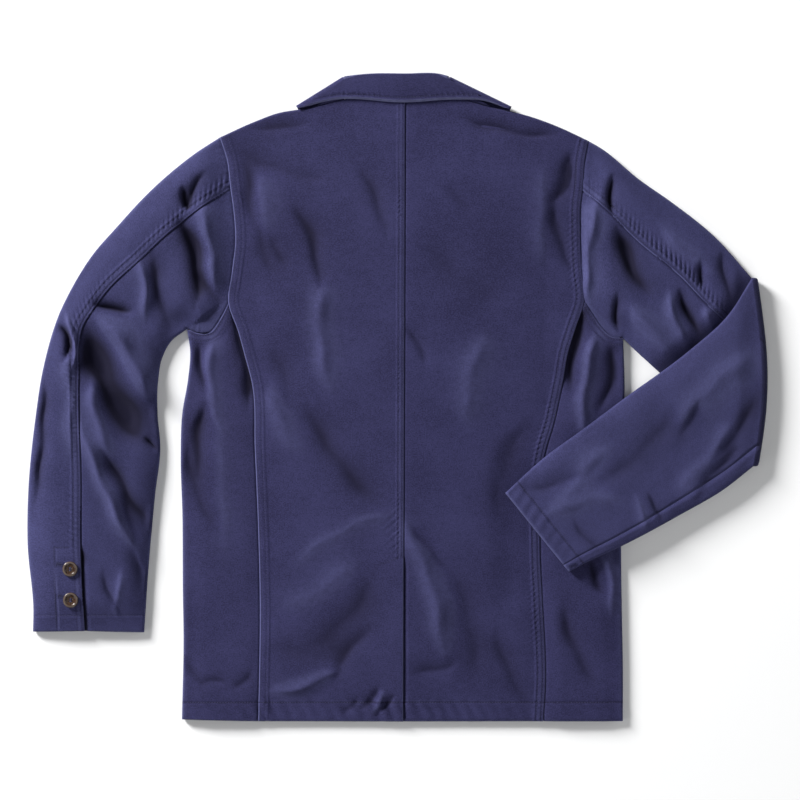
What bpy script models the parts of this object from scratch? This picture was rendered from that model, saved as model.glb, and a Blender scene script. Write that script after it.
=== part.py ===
"""A suit jacket in cotton twill, laid flat on its front with its back up.

The left sleeve lies straight beside the body, and the right sleeve is folded back at the
elbow over the back. X runs to the wearer's right, Y towards the collar and Z up from the
surface that the jacket lies on. The tables are in millimetres.

Every piece of cloth is a grid that lies on the middle of its wall. Its rows and columns run
between guide lines (a seam, a hem or a rounded edge), and Solidify gives it its thickness.
"""
import bpy
import bmesh
import numpy as np

MM = 0.001

# Cloth and layers
CLOTH = 1.6                 # thickness of one wall
INSIDE = 3.6                # clear height between front and back
SEAM_PULL = 0.2             # each piece stops this far short of a seam line
CROTCH_PULL = 3.2           # more where body and sleeve meet at a sharp angle
LAYER_GAP = 0.3             # clear height between two walls that lie on each other
EDGE_RADIUS = (INSIDE + CLOTH) / 2
MIDDLE = CLOTH / 2 + EDGE_RADIUS
LAYER = CLOTH + LAYER_GAP
EDGE_ANGLES = np.radians([90, 45, 0, -45, -90])
SHOULDER_ANGLES = np.radians([90, 45, 15])

# Elbow fold of the right sleeve
FOLD_HEIGHT = 7.3           # height of the line that the forearm turns about, over the arm
FOREARM_RISE = 2.6          # the cuff end lies on its two buttons
TURN_ANGLES = np.radians([45, 90, 135, 180])

# Front closure, hidden under the jacket
CENTRE_X = 7.0
OVERLAP = 18.0              # each front goes this far past the centre line
BREAK_Y = 60.0              # where the lapels start to turn
BUTTON_LINE = (46.0, -44.0, -134.0)
FRONT_BUTTON = (10.0, 2.4)  # radius, thickness
CUFF_BUTTON = (9.2, 2.4)

VENT_TOP = -192.0
VENT_UNDERLAP = 36.0
HEM_Y = -388.5

# Rows of a body panel: hem to vent top, vent top to underarm, underarm to shoulder
HEM_STEPS, WAIST_STEPS, ARM_STEPS = 4, 6, 6

# Columns across the upward side of a sleeve, from its outer to its inner edge
SLEEVE_COLUMNS = 9
HINDARM_COLUMN = 2
FOREARM_COLUMN = 7
HINDARM_SHARES = (0.0, 0.5)
INNER_SHARES = tuple(np.linspace(0, 1, 7))
CROTCH_ROW = 2
CROTCH_INWARD = {"left": np.array([0.287, 0.958]), "right": np.array([-0.287, 0.958])}

# Colours of the dyed twill and of the buttons
NAVY = (0.040, 0.038, 0.110, 1.0)
HORN = (0.060, 0.030, 0.018, 1.0)

# Guide lines (x, y). An armhole runs from the shoulder (row 0) past the hindarm seam (row 2)
# and the side-back seam (row 6) to the crotch of the sleeve (row 10).
GUIDES = {
    "left": {
        "armhole": ((-213.1, 312.1), (-205.1, 287.4), (-200.3, 251.4), (-196.2, 221.0),
                    (-194.3, 190.0), (-198.5, 150.6), (-202.7, 113.4), (-211.7, 95.4),
                    (-225.0, 78.0), (-239.9, 77.0), (-252.5, 83.0)),
        "shoulder": ((-97.0, 349.0), (-119.0, 345.5), (-140.9, 341.9), (-171.4, 331.0),
                     (-213.1, 312.1)),
        "neckline": ((9.0, 363.0), (-48.0, 361.0), (-97.0, 349.0)),
        "back_seam": ((-166.8, HEM_Y), (-164.9, -243.0), (-167.3, -147.0), (-170.9, -63.0),
                      (-175.3, 21.0), (-181.7, 45.0), (-191.3, 79.8), (-202.7, 113.4)),
        "front_seam": ((-197.0, HEM_Y), (-197.0, -147.0), (-199.0, 21.0), (-202.7, 113.4)),
        "side": ((-258.5, HEM_Y + 2.0), (-256.5, -291.0), (-257.3, -237.0), (-258.0, -138.6),
                 (-259.9, -75.0), (-258.0, -18.6), (-251.3, 21.0), (-248.6, 56.0),
                 (-252.5, 83.0)),
        "front_edge": ((-12.0, HEM_Y + 3.0), (14.0, -368.0), (23.0, -330.0),
                       (CENTRE_X + OVERLAP, VENT_TOP), (CENTRE_X + OVERLAP, BREAK_Y)),
        "roll": ((CENTRE_X + OVERLAP, BREAK_Y), (-20.0, 186.0), (-65.6, 310.8)),
        "lapel_edge": ((23.0, BREAK_Y + 8.0), (-30.0, 128.0), (-84.0, 190.0),
                       (-116.9, 240.7)),
        "outer": ((-213.1, 312.1), (-242.0, 293.4), (-268.1, 273.2), (-297.7, 246.6),
                  (-337.7, 203.6), (-365.4, 171.8), (-389.3, 134.0), (-405.2, 102.1),
                  (-423.1, 44.4), (-435.1, -28.8), (-443.4, -118.2), (-444.0, -174.0),
                  (-437.0, -257.6), (-437.5, -281.0)),
        "hindarm": ((-200.3, 251.4), (-238.1, 225.5), (-277.9, 193.8), (-307.7, 165.8),
                    (-347.5, 128.0), (-365.4, 104.2), (-377.4, 84.2), (-381.7, 64.3),
                    (-382.0, 21.0), (-379.5, -98.4), (-379.3, -178.0), (-375.4, -280.0)),
        "inner": ((-252.5, 83.0), (-271.9, 68.3), (-282.8, 48.6), (-287.9, 21.0),
                  (-288.8, -18.8), (-285.5, -58.6), (-291.8, -118.2), (-299.8, -207.8),
                  (-304.8, -281.9)),
    },
    "right": {
        "armhole": ((228.7, 308.2), (225.1, 289.8), (221.9, 249.4), (219.5, 231.0),
                    (219.4, 198.6), (221.2, 153.8), (223.9, 115.8), (232.3, 102.6),
                    (243.7, 85.2), (256.5, 73.0), (270.7, 72.0)),
        "shoulder": ((113.0, 348.0), (135.5, 343.6), (165.0, 335.4), (195.0, 324.0),
                     (228.7, 308.2)),
        "neckline": ((9.0, 363.0), (64.0, 361.0), (113.0, 348.0)),
        "back_seam": ((174.7, HEM_Y), (177.1, -343.8), (173.5, -243.0), (171.1, -184.9),
                      (179.5, -57.0), (186.2, -35.4), (192.7, -7.8), (198.7, 21.0),
                      (204.7, 54.6), (214.0, 84.6), (223.9, 115.8)),
        "front_seam": ((209.0, HEM_Y), (209.0, -147.0), (214.0, 21.0), (223.9, 115.8)),
        "side": ((270.4, HEM_Y), (270.4, -318.6), (269.2, -255.0), (268.3, -177.0),
                 (270.0, -60.0), (272.5, 21.0), (270.7, 72.0)),
        "front_edge": ((26.0, HEM_Y + 3.0), (0.0, -368.0), (-9.0, -330.0),
                       (CENTRE_X - OVERLAP, VENT_TOP), (CENTRE_X - OVERLAP, BREAK_Y)),
        "roll": ((CENTRE_X - OVERLAP, BREAK_Y), (35.0, 186.0), (81.6, 310.8)),
        "lapel_edge": ((14.0, BREAK_Y + 62.0), (50.0, 150.0), (100.0, 192.0),
                       (132.9, 240.7)),
        "outer": ((228.7, 308.2), (242.8, 300.1), (290.5, 261.4), (330.4, 233.4),
                  (379.9, 193.8), (425.5, 143.0)),
        "hindarm": ((221.9, 249.4), (250.7, 224.5), (290.5, 185.8), (340.3, 144.0),
                    (370.1, 112.2), (391.9, 92.2), (431.5, 62.0)),
        "inner": ((270.7, 72.0), (282.6, 60.4), (317.4, 28.4), (370.0, -22.0),
                  (426.5, -82.0)),
        "fold": ((425.5, 143.0), (431.5, 99.5), (436.6, 49.8), (437.4, 19.8),
                 (436.2, -10.2), (430.5, -57.7), (426.5, -82.0)),
        "forearm_outer": ((425.5, 143.0), (396.0, 97.5), (350.3, 56.0), (273.1, -0.6),
                          (221.8, -39.0), (176.3, -72.1), (129.5, -114.6)),
        "forearm_hindarm": ((431.5, 62.0), (300.0, -60.0), (166.8, -161.0)),
        "forearm_inner": ((426.5, -82.0), (390.7, -110.0), (339.1, -140.0), (269.5, -177.0),
                          (227.3, -196.8), (205.2, -208.4)),
    },
}

# Largest folds of the cloth that faces up: a ridge (+) or trough (-) from start to end
FOLD_COLUMNS = ("x0", "y0", "x1", "y1", "half_width", "height")
FOLDS = (
    (-342.0, 96.0, -302.0, 12.0, 16.0, 2.2),
    (-364.0, 62.0, -312.0, -50.0, 12.0, -1.6),
    (-350.0, -92.0, -300.0, -190.0, 20.0, 2.0),
    (-246.0, 160.0, -226.0, 105.0, 12.0, 2.0),
    (-198.0, 96.0, -182.0, 10.0, 11.0, -1.4),
    (24.0, -165.0, 60.0, -202.0, 12.0, -1.2),
    (268.0, 190.0, 297.0, 129.0, 14.0, 2.0),
    (345.0, 122.0, 362.0, 82.0, 10.0, -1.4),
)

# Collar: the roll is its top edge on the back, and at each side it turns under the jacket
COLLAR_TURN = {"left": ((-66.0, 384.5), (-121.5, 350.0)), "right": ((64.0, 384.5), (137.0, 349.0))}
COLLAR_ROLL = ((-66.0, 384.5), (-34.0, 387.6), (9.0, 387.8), (52.0, 387.4), (64.0, 384.5))
COLLAR_FALL_EDGE = ((-121.5, 350.0), (-76.0, 357.5), (9.0, 354.6), (73.0, 358.0),
                    (103.0, 356.5), (137.0, 349.0))
COLLAR_GORGE = {"left": ((-64.0, 313.5), (-129.0, 284.0)), "right": ((80.0, 313.5), (146.0, 284.0))}
FALL_HEIGHT = MIDDLE + EDGE_RADIUS + LAYER + 0.6


def along(rows, shares):
    """Points on a smooth line through the rows, at shares (0 to 1) of its length."""
    points = np.array(rows, float)
    reach = np.concatenate([[0.0], np.cumsum(np.linalg.norm(np.diff(points, axis=0), axis=1))])
    slope = np.gradient(points, reach, axis=0)
    at = np.clip(np.asarray(shares, float), 0, 1) * reach[-1]
    i = np.clip(np.searchsorted(reach, at, "right") - 1, 0, len(reach) - 2)
    step = (reach[i + 1] - reach[i])[:, None]
    s = ((at - reach[i])[:, None]) / step
    return ((2 * s**3 - 3 * s**2 + 1) * points[i] + (s**3 - 2 * s**2 + s) * step * slope[i]
            + (3 * s**2 - 2 * s**3) * points[i + 1] + (s**3 - s**2) * step * slope[i + 1])


def at_heights(rows, heights):
    """Points on a line that runs up the table, at the given y."""
    points = np.array(rows, float)
    return np.stack([np.interp(heights, points[:, 1], points[:, 0]), heights], axis=1)


def smooth_step(value, start, end):
    """0 before start, 1 after end, and an S-curve between them."""
    t = np.clip((value - start) / (end - start), 0, 1)
    return t * t * (3 - 2 * t)


def between(first, last, share):
    """Rows of points from first to last, one column for each share."""
    share = np.asarray(share)[None, :, None]
    return first[:, None, :] * (1 - share) + last[:, None, :] * share


def toward(start, end):
    """Unit vectors from start to end."""
    step = end - start
    return step / np.linalg.norm(step, axis=-1, keepdims=True)


def folds_height(x, y):
    """Sum of the ridges and troughs: each is a bell across its line and fades at its ends."""
    total = np.zeros_like(x)
    for row in FOLDS:
        fold = dict(zip(FOLD_COLUMNS, row))
        dx, dy = fold["x1"] - fold["x0"], fold["y1"] - fold["y0"]
        length = np.hypot(dx, dy)
        run = ((x - fold["x0"]) * dx + (y - fold["y0"]) * dy) / length**2
        off = ((x - fold["x0"]) * dy - (y - fold["y0"]) * dx) / length
        ends = np.exp(-((2 * run - 1) / 1.1) ** 4)
        total += fold["height"] * ends * np.exp(-((off / fold["half_width"]) ** 2))
    return total


def back_lift(x, y):
    """How far the upward cloth lies above its level: the front overlap is under the centre."""
    dome = 1.6 * np.exp(-(((x - 12.0) / 80.0) ** 4)) * (1 - smooth_step(y, 150, 300))
    return dome + folds_height(x, y)


def left_front_lift(x, y):
    """The left front lies on its buttons, and on its lapel and collar higher up."""
    on_buttons = (1 - smooth_step(np.abs(x - CENTRE_X), 16, 70)) * (
        smooth_step(y, -190, -152) * (1 - smooth_step(y, 80, 130)))
    on_lapel = smooth_step(x, -178, -140) * smooth_step(y, 20, 62)
    return np.maximum(2.8 * on_buttons, LAYER * on_lapel)


def right_front_lift(x, y):
    """The right front lies on the left one at the overlap, and on its own lapel above."""
    overlap = (1 - smooth_step(x, 34, 100)) * (1 - smooth_step(y, 150, 200))
    on_lapel = (1 - smooth_step(x, 158, 200)) * smooth_step(y, 60, 100)
    under = left_front_lift(np.minimum(x, CENTRE_X + OVERLAP), y)
    return np.maximum((under + LAYER) * overlap, LAYER * on_lapel)


def level(plan, angle_sine, under_lift=None):
    """Gives plan points their height; angle_sine is 1 on the upward cloth, -1 underneath."""
    x, y = plan[..., 0], plan[..., 1]
    z = MIDDLE + EDGE_RADIUS * angle_sine + back_lift(x, y) * np.maximum(angle_sine, 0)
    if under_lift is not None:
        z = z + under_lift(x, y) * np.maximum(-angle_sine, 0)
    return np.concatenate([plan, z[..., None]], axis=-1)


def rounded_edge(edge, inward):
    """Columns that carry the cloth round an edge, from its upper side to its underside."""
    columns = []
    for angle in EDGE_ANGLES:
        plan = edge + inward * EDGE_RADIUS * (1 - np.cos(angle))
        columns.append(level(plan, np.sin(angle)))
    return columns


def pull(grid, axis, index, neighbour, until=None, amount=SEAM_PULL):
    """Moves one row or column short of its seam, toward its neighbour."""
    lines = np.moveaxis(grid, axis, 0)
    lines[index, :until] += amount * toward(lines[index, :until], lines[neighbour, :until])


def material(name, colour, roughness):
    """A plain Principled material for one piece."""
    made = bpy.data.materials.new(name)
    made.use_nodes = True
    shader = made.node_tree.nodes["Principled BSDF"]
    shader.inputs["Base Color"].default_value = colour
    shader.inputs["Roughness"].default_value = roughness
    shader.inputs["Metallic"].default_value = 0.0
    return made


def cloth_piece(name, grid, left_out=lambda row, column: False):
    """A named wall of cloth on a grid of middle points (rows, columns, xyz) in millimetres.

    left_out says which cells of the grid the piece doesn't have.
    """
    row_count, column_count = grid.shape[:2]
    shape = bmesh.new()
    bmesh.ops.create_grid(shape, x_segments=column_count - 1, y_segments=row_count - 1, size=1)
    points = grid.reshape(-1, 3) * MM
    shape.faces.ensure_lookup_table()
    unused = [face for face in shape.faces
              if left_out(face.index // (column_count - 1), face.index % (column_count - 1))]
    for vertex, point in zip(shape.verts, points):
        vertex.co = point
    bmesh.ops.delete(shape, geom=unused, context="FACES")
    mesh = bpy.data.meshes.new(name)
    shape.to_mesh(mesh)
    shape.free()
    mesh.shade_smooth()
    mesh.materials.append(material(name + "_cloth", NAVY, 0.9))
    piece = bpy.data.objects.new(name, mesh)
    JACKET.objects.link(piece)
    wall = piece.modifiers.new("Wall", "SOLIDIFY")
    wall.thickness = CLOTH * MM
    wall.offset = 0.0
    wall.use_even_offset = True
    return piece


def body_rows(seam, armhole):
    """Outer ends of a panel's rows: up the seam from hem to underarm, then up the armhole."""
    seam_heights = np.concatenate([
        np.linspace(seam[0][1], VENT_TOP, HEM_STEPS + 1),
        np.linspace(VENT_TOP, seam[-1][1], WAIST_STEPS + 1)[1:]])
    rising = np.array(armhole[6::-1], float)
    return np.concatenate([at_heights(seam, seam_heights), rising[1:-1]])


def with_shoulder(plan_rows, top_line, inner_next, direction):
    """Adds the rows of the rounded shoulder edge: upward for a back, downward for a front.

    Where the top line isn't a shoulder (a neckline), the cloth stays at its level.
    """
    rows = [plan_rows]
    for angle in SHOULDER_ANGLES:
        inward = toward(top_line, inner_next)
        rows.append((top_line + inward * EDGE_RADIUS * (1 - np.cos(angle)))[None])
    sines = np.concatenate([np.ones(len(plan_rows)), np.sin(SHOULDER_ANGLES)]) * direction
    return np.concatenate(rows), sines


def back_panel(side):
    """Half of the back, from the centre seam to the side-back seam and the armhole."""
    guide = GUIDES[side]
    outer_ends = body_rows(guide["back_seam"], guide["armhole"])
    inner_heights = np.concatenate([
        np.linspace(HEM_Y - 0.5, VENT_TOP, HEM_STEPS + 1),
        np.linspace(VENT_TOP, 130, WAIST_STEPS + 1)[1:],
        np.linspace(130, 363, ARM_STEPS + 1)[1:-1]])
    inner_ends = at_heights(((6.7, -390.0), (7.2, VENT_TOP), (9.0, 363.0)), inner_heights)
    neck_columns, shoulder_columns = 4, 5
    share = np.linspace(0, 1, neck_columns + shoulder_columns + 1)
    top = np.concatenate([
        along(guide["neckline"], np.linspace(0, 1, neck_columns + 1))[:-1],
        along(guide["shoulder"], np.linspace(0, 1, shoulder_columns + 1))])
    plan = between(inner_ends, outer_ends, share)
    # the shape of the neckline and shoulder fades over the rows below it
    straight_top = between(top[:1], top[-1:], share)[0]
    fade = np.clip((np.arange(len(plan)) - 10) / 6.0, 0, 1) ** 2
    plan = plan + fade[:, None, None] * (top - straight_top)
    plan, sines = with_shoulder(plan, top, plan[-1], 1)
    sines = np.repeat(sines[:, None], len(share), axis=1)
    sines[:, :neck_columns] = 1.0
    grid = level(plan, sines)
    pull(grid, 1, 0, 1)
    pull(grid, 1, -1, -2)
    pull(grid, 0, -1, -2)
    return grid


def left_back():
    """The left half of the back laps over the vent, so its edge is whole down to the hem."""
    cloth_piece("back_left", back_panel("left"))


def right_back():
    """The right half of the back, with the strip that lies under the vent."""
    grid = back_panel("right")
    columns = []
    for share in (1.0, 0.5, -0.03):
        strip = grid[:, 0].copy()
        strip[:, 0] -= VENT_UNDERLAP * share
        strip[:, 2] = MIDDLE + EDGE_RADIUS + back_lift(strip[:, 0], strip[:, 1]) - LAYER
        columns.append(strip)
    step_down = grid[:HEM_STEPS + 1, 0]
    step_down[:, 0] += 5.0
    grid = np.concatenate([np.stack(columns, axis=1), grid], axis=1)
    strips = len(columns)
    # the strip's top row ends just under the closed seam
    grid[HEM_STEPS, :strips, 1] -= SEAM_PULL
    cloth_piece("back_right", grid, lambda row, column: column < strips and row >= HEM_STEPS)


def side_panel(side):
    """From the side-back seam round the side edge to the front seam on the underside."""
    guide = GUIDES[side]
    armhole = np.array(guide["armhole"], float)
    heights = np.concatenate([
        np.linspace(HEM_Y, VENT_TOP, HEM_STEPS + 1),
        np.linspace(VENT_TOP, guide["back_seam"][-1][1], WAIST_STEPS + 1)[1:]])
    seam = at_heights(guide["back_seam"], heights)
    front_seam = at_heights(guide["front_seam"], heights)
    edge_heights = np.concatenate([
        np.linspace(guide["side"][0][1], VENT_TOP, HEM_STEPS + 1),
        np.linspace(VENT_TOP, guide["side"][-1][1], WAIST_STEPS + 1)[1:]])
    edge = at_heights(guide["side"], edge_heights)
    share = (0.0, 0.28, 0.56, 0.82)
    near_armhole = np.array([0.0] * (len(heights) - 2) + [0.35, 1.0])[:, None, None]

    def flat_columns(seam_line, sine):
        plan = between(seam_line, edge, share)
        plan = plan + near_armhole * (armhole[6:10] - plan[-1])
        return [level(plan[:, i], sine) for i in range(len(share))]

    inward = np.repeat(np.array([[1.0 if side == "left" else -1.0, 0.0]]), len(heights), axis=0)
    inward[-1] = CROTCH_INWARD[side]
    upper = flat_columns(seam, 1.0)
    under = flat_columns(front_seam, -1.0)
    grid = np.stack(upper + rounded_edge(edge, inward) + under[::-1], axis=1)
    pull(grid, 1, 0, 1)
    pull(grid, 1, -1, -2)
    pull(grid, 0, -1, -2)
    edge_columns = grid[:, len(share) - 1:1 - len(share)]
    easing = np.array([0.35] + [1.0] * len(EDGE_ANGLES) + [0.35])[:, None]
    pull(edge_columns, 0, -1, -2, amount=CROTCH_PULL * easing)
    cloth_piece("side_panel_" + side, grid)


def front_panel(side):
    """From the front edge and the lapel's roll to the front seam and the armhole."""
    guide = GUIDES[side]
    lift = left_front_lift if side == "left" else right_front_lift
    outer_ends = body_rows(guide["front_seam"], guide["armhole"])
    roll_rows = 4
    roll = along(guide["roll"], np.linspace(0, 1, roll_rows + 1))
    neck = np.array(guide["shoulder"][0], float)
    edge_heights = np.concatenate([
        np.linspace(guide["front_edge"][0][1], VENT_TOP, HEM_STEPS + 1),
        np.linspace(VENT_TOP, BREAK_Y, WAIST_STEPS + 1)[1:]])
    inner_ends = np.concatenate([
        at_heights(guide["front_edge"], edge_heights), roll[1:],
        (roll[-1:] * 0.5 + neck * 0.5)])
    share = np.linspace(0, 1, 9)
    top = along(guide["shoulder"], share)
    plan = between(inner_ends, outer_ends, share)
    straight_top = between(top[:1], top[-1:], share)[0]
    fade = np.clip((np.arange(len(plan)) - 10) / 6.0, 0, 1) ** 2
    plan = plan + fade[:, None, None] * (top - straight_top)
    plan, sines = with_shoulder(plan, top, plan[-1], -1)
    grid = level(plan, np.repeat(sines[:, None], len(share), axis=1), lift)
    pull(grid, 1, 0, 1)
    pull(grid, 1, -1, -2)
    pull(grid, 0, -1, -2)
    cloth_piece("front_" + side, grid)


def lapel(side):
    """The turned-back top of a front, flat under it from the break to the gorge."""
    guide = GUIDES[side]
    rows = np.linspace(0, 1, 8)
    start = 0.0 if side == "left" else 0.32
    roll = along(guide["roll"], start + (0.985 - start) * rows)
    roll[0, 1] += 4.0
    edge = along(guide["lapel_edge"], rows)
    plan = between(roll, edge, (0.0, 0.5, 1.0))
    height = np.full(plan.shape[:2] + (1,), CLOTH / 2)
    cloth_piece("lapel_" + side, np.concatenate([plan, height], axis=-1))


def collar_stand():
    """Stands up from the back neckline inside the collar, pressed flat."""
    neck = np.concatenate([
        along(GUIDES["left"]["neckline"], np.linspace(1, 0, 7)),
        along(GUIDES["right"]["neckline"], np.linspace(0, 1, 7))[1:]])
    neck[:, 1] += 5 * SEAM_PULL
    roll = along(COLLAR_ROLL, np.linspace(0.03, 0.97, 13)) - (0.0, 5.5)
    plan = between(neck, roll, (0.0, 0.5, 1.0))
    height = MIDDLE + EDGE_RADIUS + back_lift(plan[..., 0], plan[..., 1])
    cloth_piece("collar_stand", np.concatenate([plan, height[..., None]], axis=-1))


def collar_fall():
    """Turned down over the back neck, and round each side to the notch underneath."""
    radius = (FALL_HEIGHT - CLOTH / 2) / 2
    back_columns = 13
    across = np.linspace(0, 1, 5)

    def strip(top, bottom, height):
        plan = top[None] * (1 - across[:, None]) + bottom[None] * across[:, None]
        return np.concatenate([plan, np.full((len(across), 1), height)], axis=1)

    def turned_edge(side):
        """The edge that the collar turns about at a side, and the way in from it."""
        turn = np.array(COLLAR_TURN[side])
        step = turn[1] - turn[0]
        inward = np.array([step[1], -step[0]]) / np.linalg.norm(step)
        return turn, -inward * np.sign(inward[1])

    def side_columns(side):
        """From the notch end, along the underside, round the turned edge to the back."""
        turn, inward = turned_edge(side)
        gorge = np.array(COLLAR_GORGE[side])
        columns = [strip(gorge[0] * (1 - s) + (turn[0] + inward * radius) * s,
                         gorge[1] * (1 - s) + (turn[1] + inward * radius) * s, CLOTH / 2)
                   for s in (0.0, 0.5, 1.0)]
        for angle in EDGE_ANGLES[1:-1][::-1]:
            shift = inward * radius * (1 - np.cos(angle))
            columns.append(strip(turn[0] + shift, turn[1] + shift,
                                 CLOTH / 2 + radius * (1 + np.sin(angle))))
        shift = inward * radius
        columns.append(strip(turn[0] + shift, turn[1] + shift, FALL_HEIGHT))
        return columns

    left, right = side_columns("left"), side_columns("right")
    # the flat back starts and ends where the turned sides come up to its height
    ends = [turn + inward * radius for turn, inward in map(turned_edge, ("left", "right"))]
    flat_roll = along(COLLAR_ROLL, np.linspace(0.13, 0.87, back_columns - 2))
    roll = np.concatenate([ends[0][:1], flat_roll, ends[1][:1]])
    edge = along((ends[0][1],) + COLLAR_FALL_EDGE[1:-1] + (ends[1][1],),
                 np.linspace(0, 1, back_columns))
    middle = [strip(roll[i], edge[i], FALL_HEIGHT) for i in range(1, back_columns - 1)]
    grid = np.stack(left + middle + right[::-1], axis=1)
    # the roll turns down toward the stand along the back, and fades out at the turned sides
    steps = len(left) + np.arange(len(middle))
    turn_depth = np.zeros(grid.shape[1])
    turn_depth[steps] = np.sin(np.pi * (np.arange(len(middle)) + 1) / (len(middle) + 1)) ** 0.5
    onward = toward(grid[1], grid[0]) + (0.0, 1.0, 0.0)
    lip = grid[0] + 0.9 * onward / np.linalg.norm(onward, axis=-1, keepdims=True)
    lip[:, 2] -= 1.4 * turn_depth
    grid = np.concatenate([lip[None], grid])
    cloth_piece("collar_fall", grid)


def across_sleeve(outer, hindarm, inner):
    """Plan points of a sleeve's columns between its outer edge, hindarm seam and inner edge."""
    first = between(outer, hindarm, HINDARM_SHARES)
    second = between(hindarm, inner, INNER_SHARES)
    return np.concatenate([first, second], axis=1)


def sleeve_top_plan(guide, row_count, armhole_reach):
    """Plan of a sleeve from its armhole down to row_count rows; the armhole's curve fades."""
    armhole = np.array(guide["armhole"], float)
    down = np.linspace(0, 1, row_count)
    outer = along(guide["outer"], down)
    hindarm = along(guide["hindarm"], down)
    inner_down = np.linspace(0, 1, row_count - CROTCH_ROW)
    inner = np.concatenate([armhole[8:10], along(guide["inner"], inner_down)])
    plan = across_sleeve(outer, hindarm, inner)
    fade = np.clip(1 - down / armhole_reach, 0, 1) ** 2
    return plan + fade[:, None, None] * (armhole[:SLEEVE_COLUMNS] - plan[0])


def sleeve_rings(plan, side):
    """Columns of the top sleeve and the under sleeve, as flattened halves of a tube."""
    upper = [level(plan[:, i], 1.0) for i in range(SLEEVE_COLUMNS)]
    under = [level(plan[:, i], -1.0) for i in range(SLEEVE_COLUMNS)]
    outer_edge = rounded_edge(plan[:, 0], toward(plan[:, 0], plan[:, 1]))
    inward = toward(plan[:, -1], plan[:, -2])
    inward[CROTCH_ROW] = CROTCH_INWARD[side]
    inner_edge = rounded_edge(plan[:, -1], inward)
    # above the crotch the inner end of each row is the armhole seam, not a rounded edge
    inner_edge[0][:CROTCH_ROW] = upper[-1][:CROTCH_ROW]
    inner_edge[-1][:CROTCH_ROW] = under[-1][:CROTCH_ROW]
    top_sleeve = [upper[2], upper[1]] + outer_edge + under[1:FOREARM_COLUMN + 1]
    under_sleeve = upper[2:-1] + inner_edge + [under[FOREARM_COLUMN]]
    return np.stack(top_sleeve, axis=1), np.stack(under_sleeve, axis=1)


def finish_sleeve(side, top_sleeve, under_sleeve):
    """Draws both halves short of their seams and of the armhole, and makes the two pieces."""
    first_edge = SLEEVE_COLUMNS - 1 - HINDARM_COLUMN
    for grid in (top_sleeve, under_sleeve):
        pull(grid, 0, 0, 1)
        pull(grid, 1, 0, 1)
        pull(grid, 1, -1, -2)
    last_edge = first_edge + len(EDGE_ANGLES) - 1
    pull(under_sleeve, 1, first_edge, first_edge - 1, CROTCH_ROW)
    pull(under_sleeve, 1, last_edge, last_edge + 1, CROTCH_ROW)
    pull(under_sleeve[:, first_edge:last_edge + 1], 0, CROTCH_ROW, CROTCH_ROW + 1,
         amount=CROTCH_PULL)
    cloth_piece("top_sleeve_" + side, top_sleeve)
    cloth_piece("under_sleeve_" + side, under_sleeve,
                lambda row, column: row < CROTCH_ROW and first_edge <= column < last_edge)


def left_sleeve():
    """Lies straight beside the body."""
    plan = sleeve_top_plan(GUIDES["left"], 13, 0.35)
    top_sleeve, under_sleeve = sleeve_rings(plan, "left")
    finish_sleeve("left", top_sleeve, under_sleeve)


def right_sleeve():
    """Runs out to the elbow, turns up and over the fold, and lies back over the body."""
    guide = GUIDES["right"]
    upper_rows, forearm_rows = 9, 9
    plan = sleeve_top_plan(guide, upper_rows, 0.6)
    fold_shares = np.concatenate([[0.0, 0.18], np.linspace(0.36, 1, 7)])
    bulge = along(guide["fold"], fold_shares) - plan[-1]
    near_fold = np.clip((np.arange(upper_rows) - (upper_rows - 4)) / 3.0, 0, 1) ** 2
    plan = plan + near_fold[:, None, None] * bulge
    upper_pieces = sleeve_rings(plan, "right")

    down = np.linspace(0, 1, forearm_rows)
    forearm = across_sleeve(along(guide["forearm_outer"], down),
                            along(guide["forearm_hindarm"], down),
                            along(guide["forearm_inner"], down))
    leaving_fold = np.clip(1 - np.arange(forearm_rows) / 3.0, 0, 1) ** 2
    forearm = forearm + leaving_fold[:, None, None] * (plan[-1] - forearm[0])
    rise = FOREARM_RISE * smooth_step(down, 0.3, 0.75)[:, None]

    flat = np.concatenate([np.zeros((CROTCH_ROW + 1, SLEEVE_COLUMNS, 2)) + forearm[0], forearm])
    forearm_pieces = [piece[CROTCH_ROW + 1:] for piece in sleeve_rings(flat, "right")]
    pieces = []
    for upper, lower in zip(upper_pieces, forearm_pieces):
        base = upper[-1]
        turned = []
        for angle in TURN_ANGLES:
            ring = base.copy()
            reach = FOLD_HEIGHT - base[:, 2]
            ring[:, 0] = base[:, 0] + reach * np.sin(angle)
            ring[:, 2] = FOLD_HEIGHT - reach * np.cos(angle)
            turned.append(ring)
        lower = lower.copy()
        lower[..., 2] = 2 * FOLD_HEIGHT - lower[..., 2] + rise
        pieces.append(np.concatenate([upper, np.stack(turned), lower[1:]]))
    finish_sleeve("right", *pieces)


def button(name, place, size, face_up):
    """A turned horn button with a raised rim, its seat at place and its face up or down."""
    radius, thickness = size
    profile = ((0.0, 0.7), (0.66, 0.7), (0.74, 1.0), (0.94, 1.0), (1.0, 0.45), (0.8, 0.0),
               (0.0, 0.0))
    shape = bmesh.new()
    points = [shape.verts.new((r * radius * MM, 0.0, z * thickness * MM)) for r, z in profile]
    for first, second in zip(points, points[1:]):
        shape.edges.new((first, second))
    mesh = bpy.data.meshes.new(name)
    shape.to_mesh(mesh)
    shape.free()
    mesh.materials.append(material(name + "_horn", HORN, 0.35))
    piece = bpy.data.objects.new(name, mesh)
    JACKET.objects.link(piece)
    turn = piece.modifiers.new("Turn", "SCREW")
    turn.steps = 16
    turn.render_steps = 16
    turn.use_merge_vertices = True
    turn.merge_threshold = 0.00001
    piece.location = [value * MM for value in place]
    if not face_up:
        piece.rotation_euler = (np.pi, 0.0, 0.0)


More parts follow.
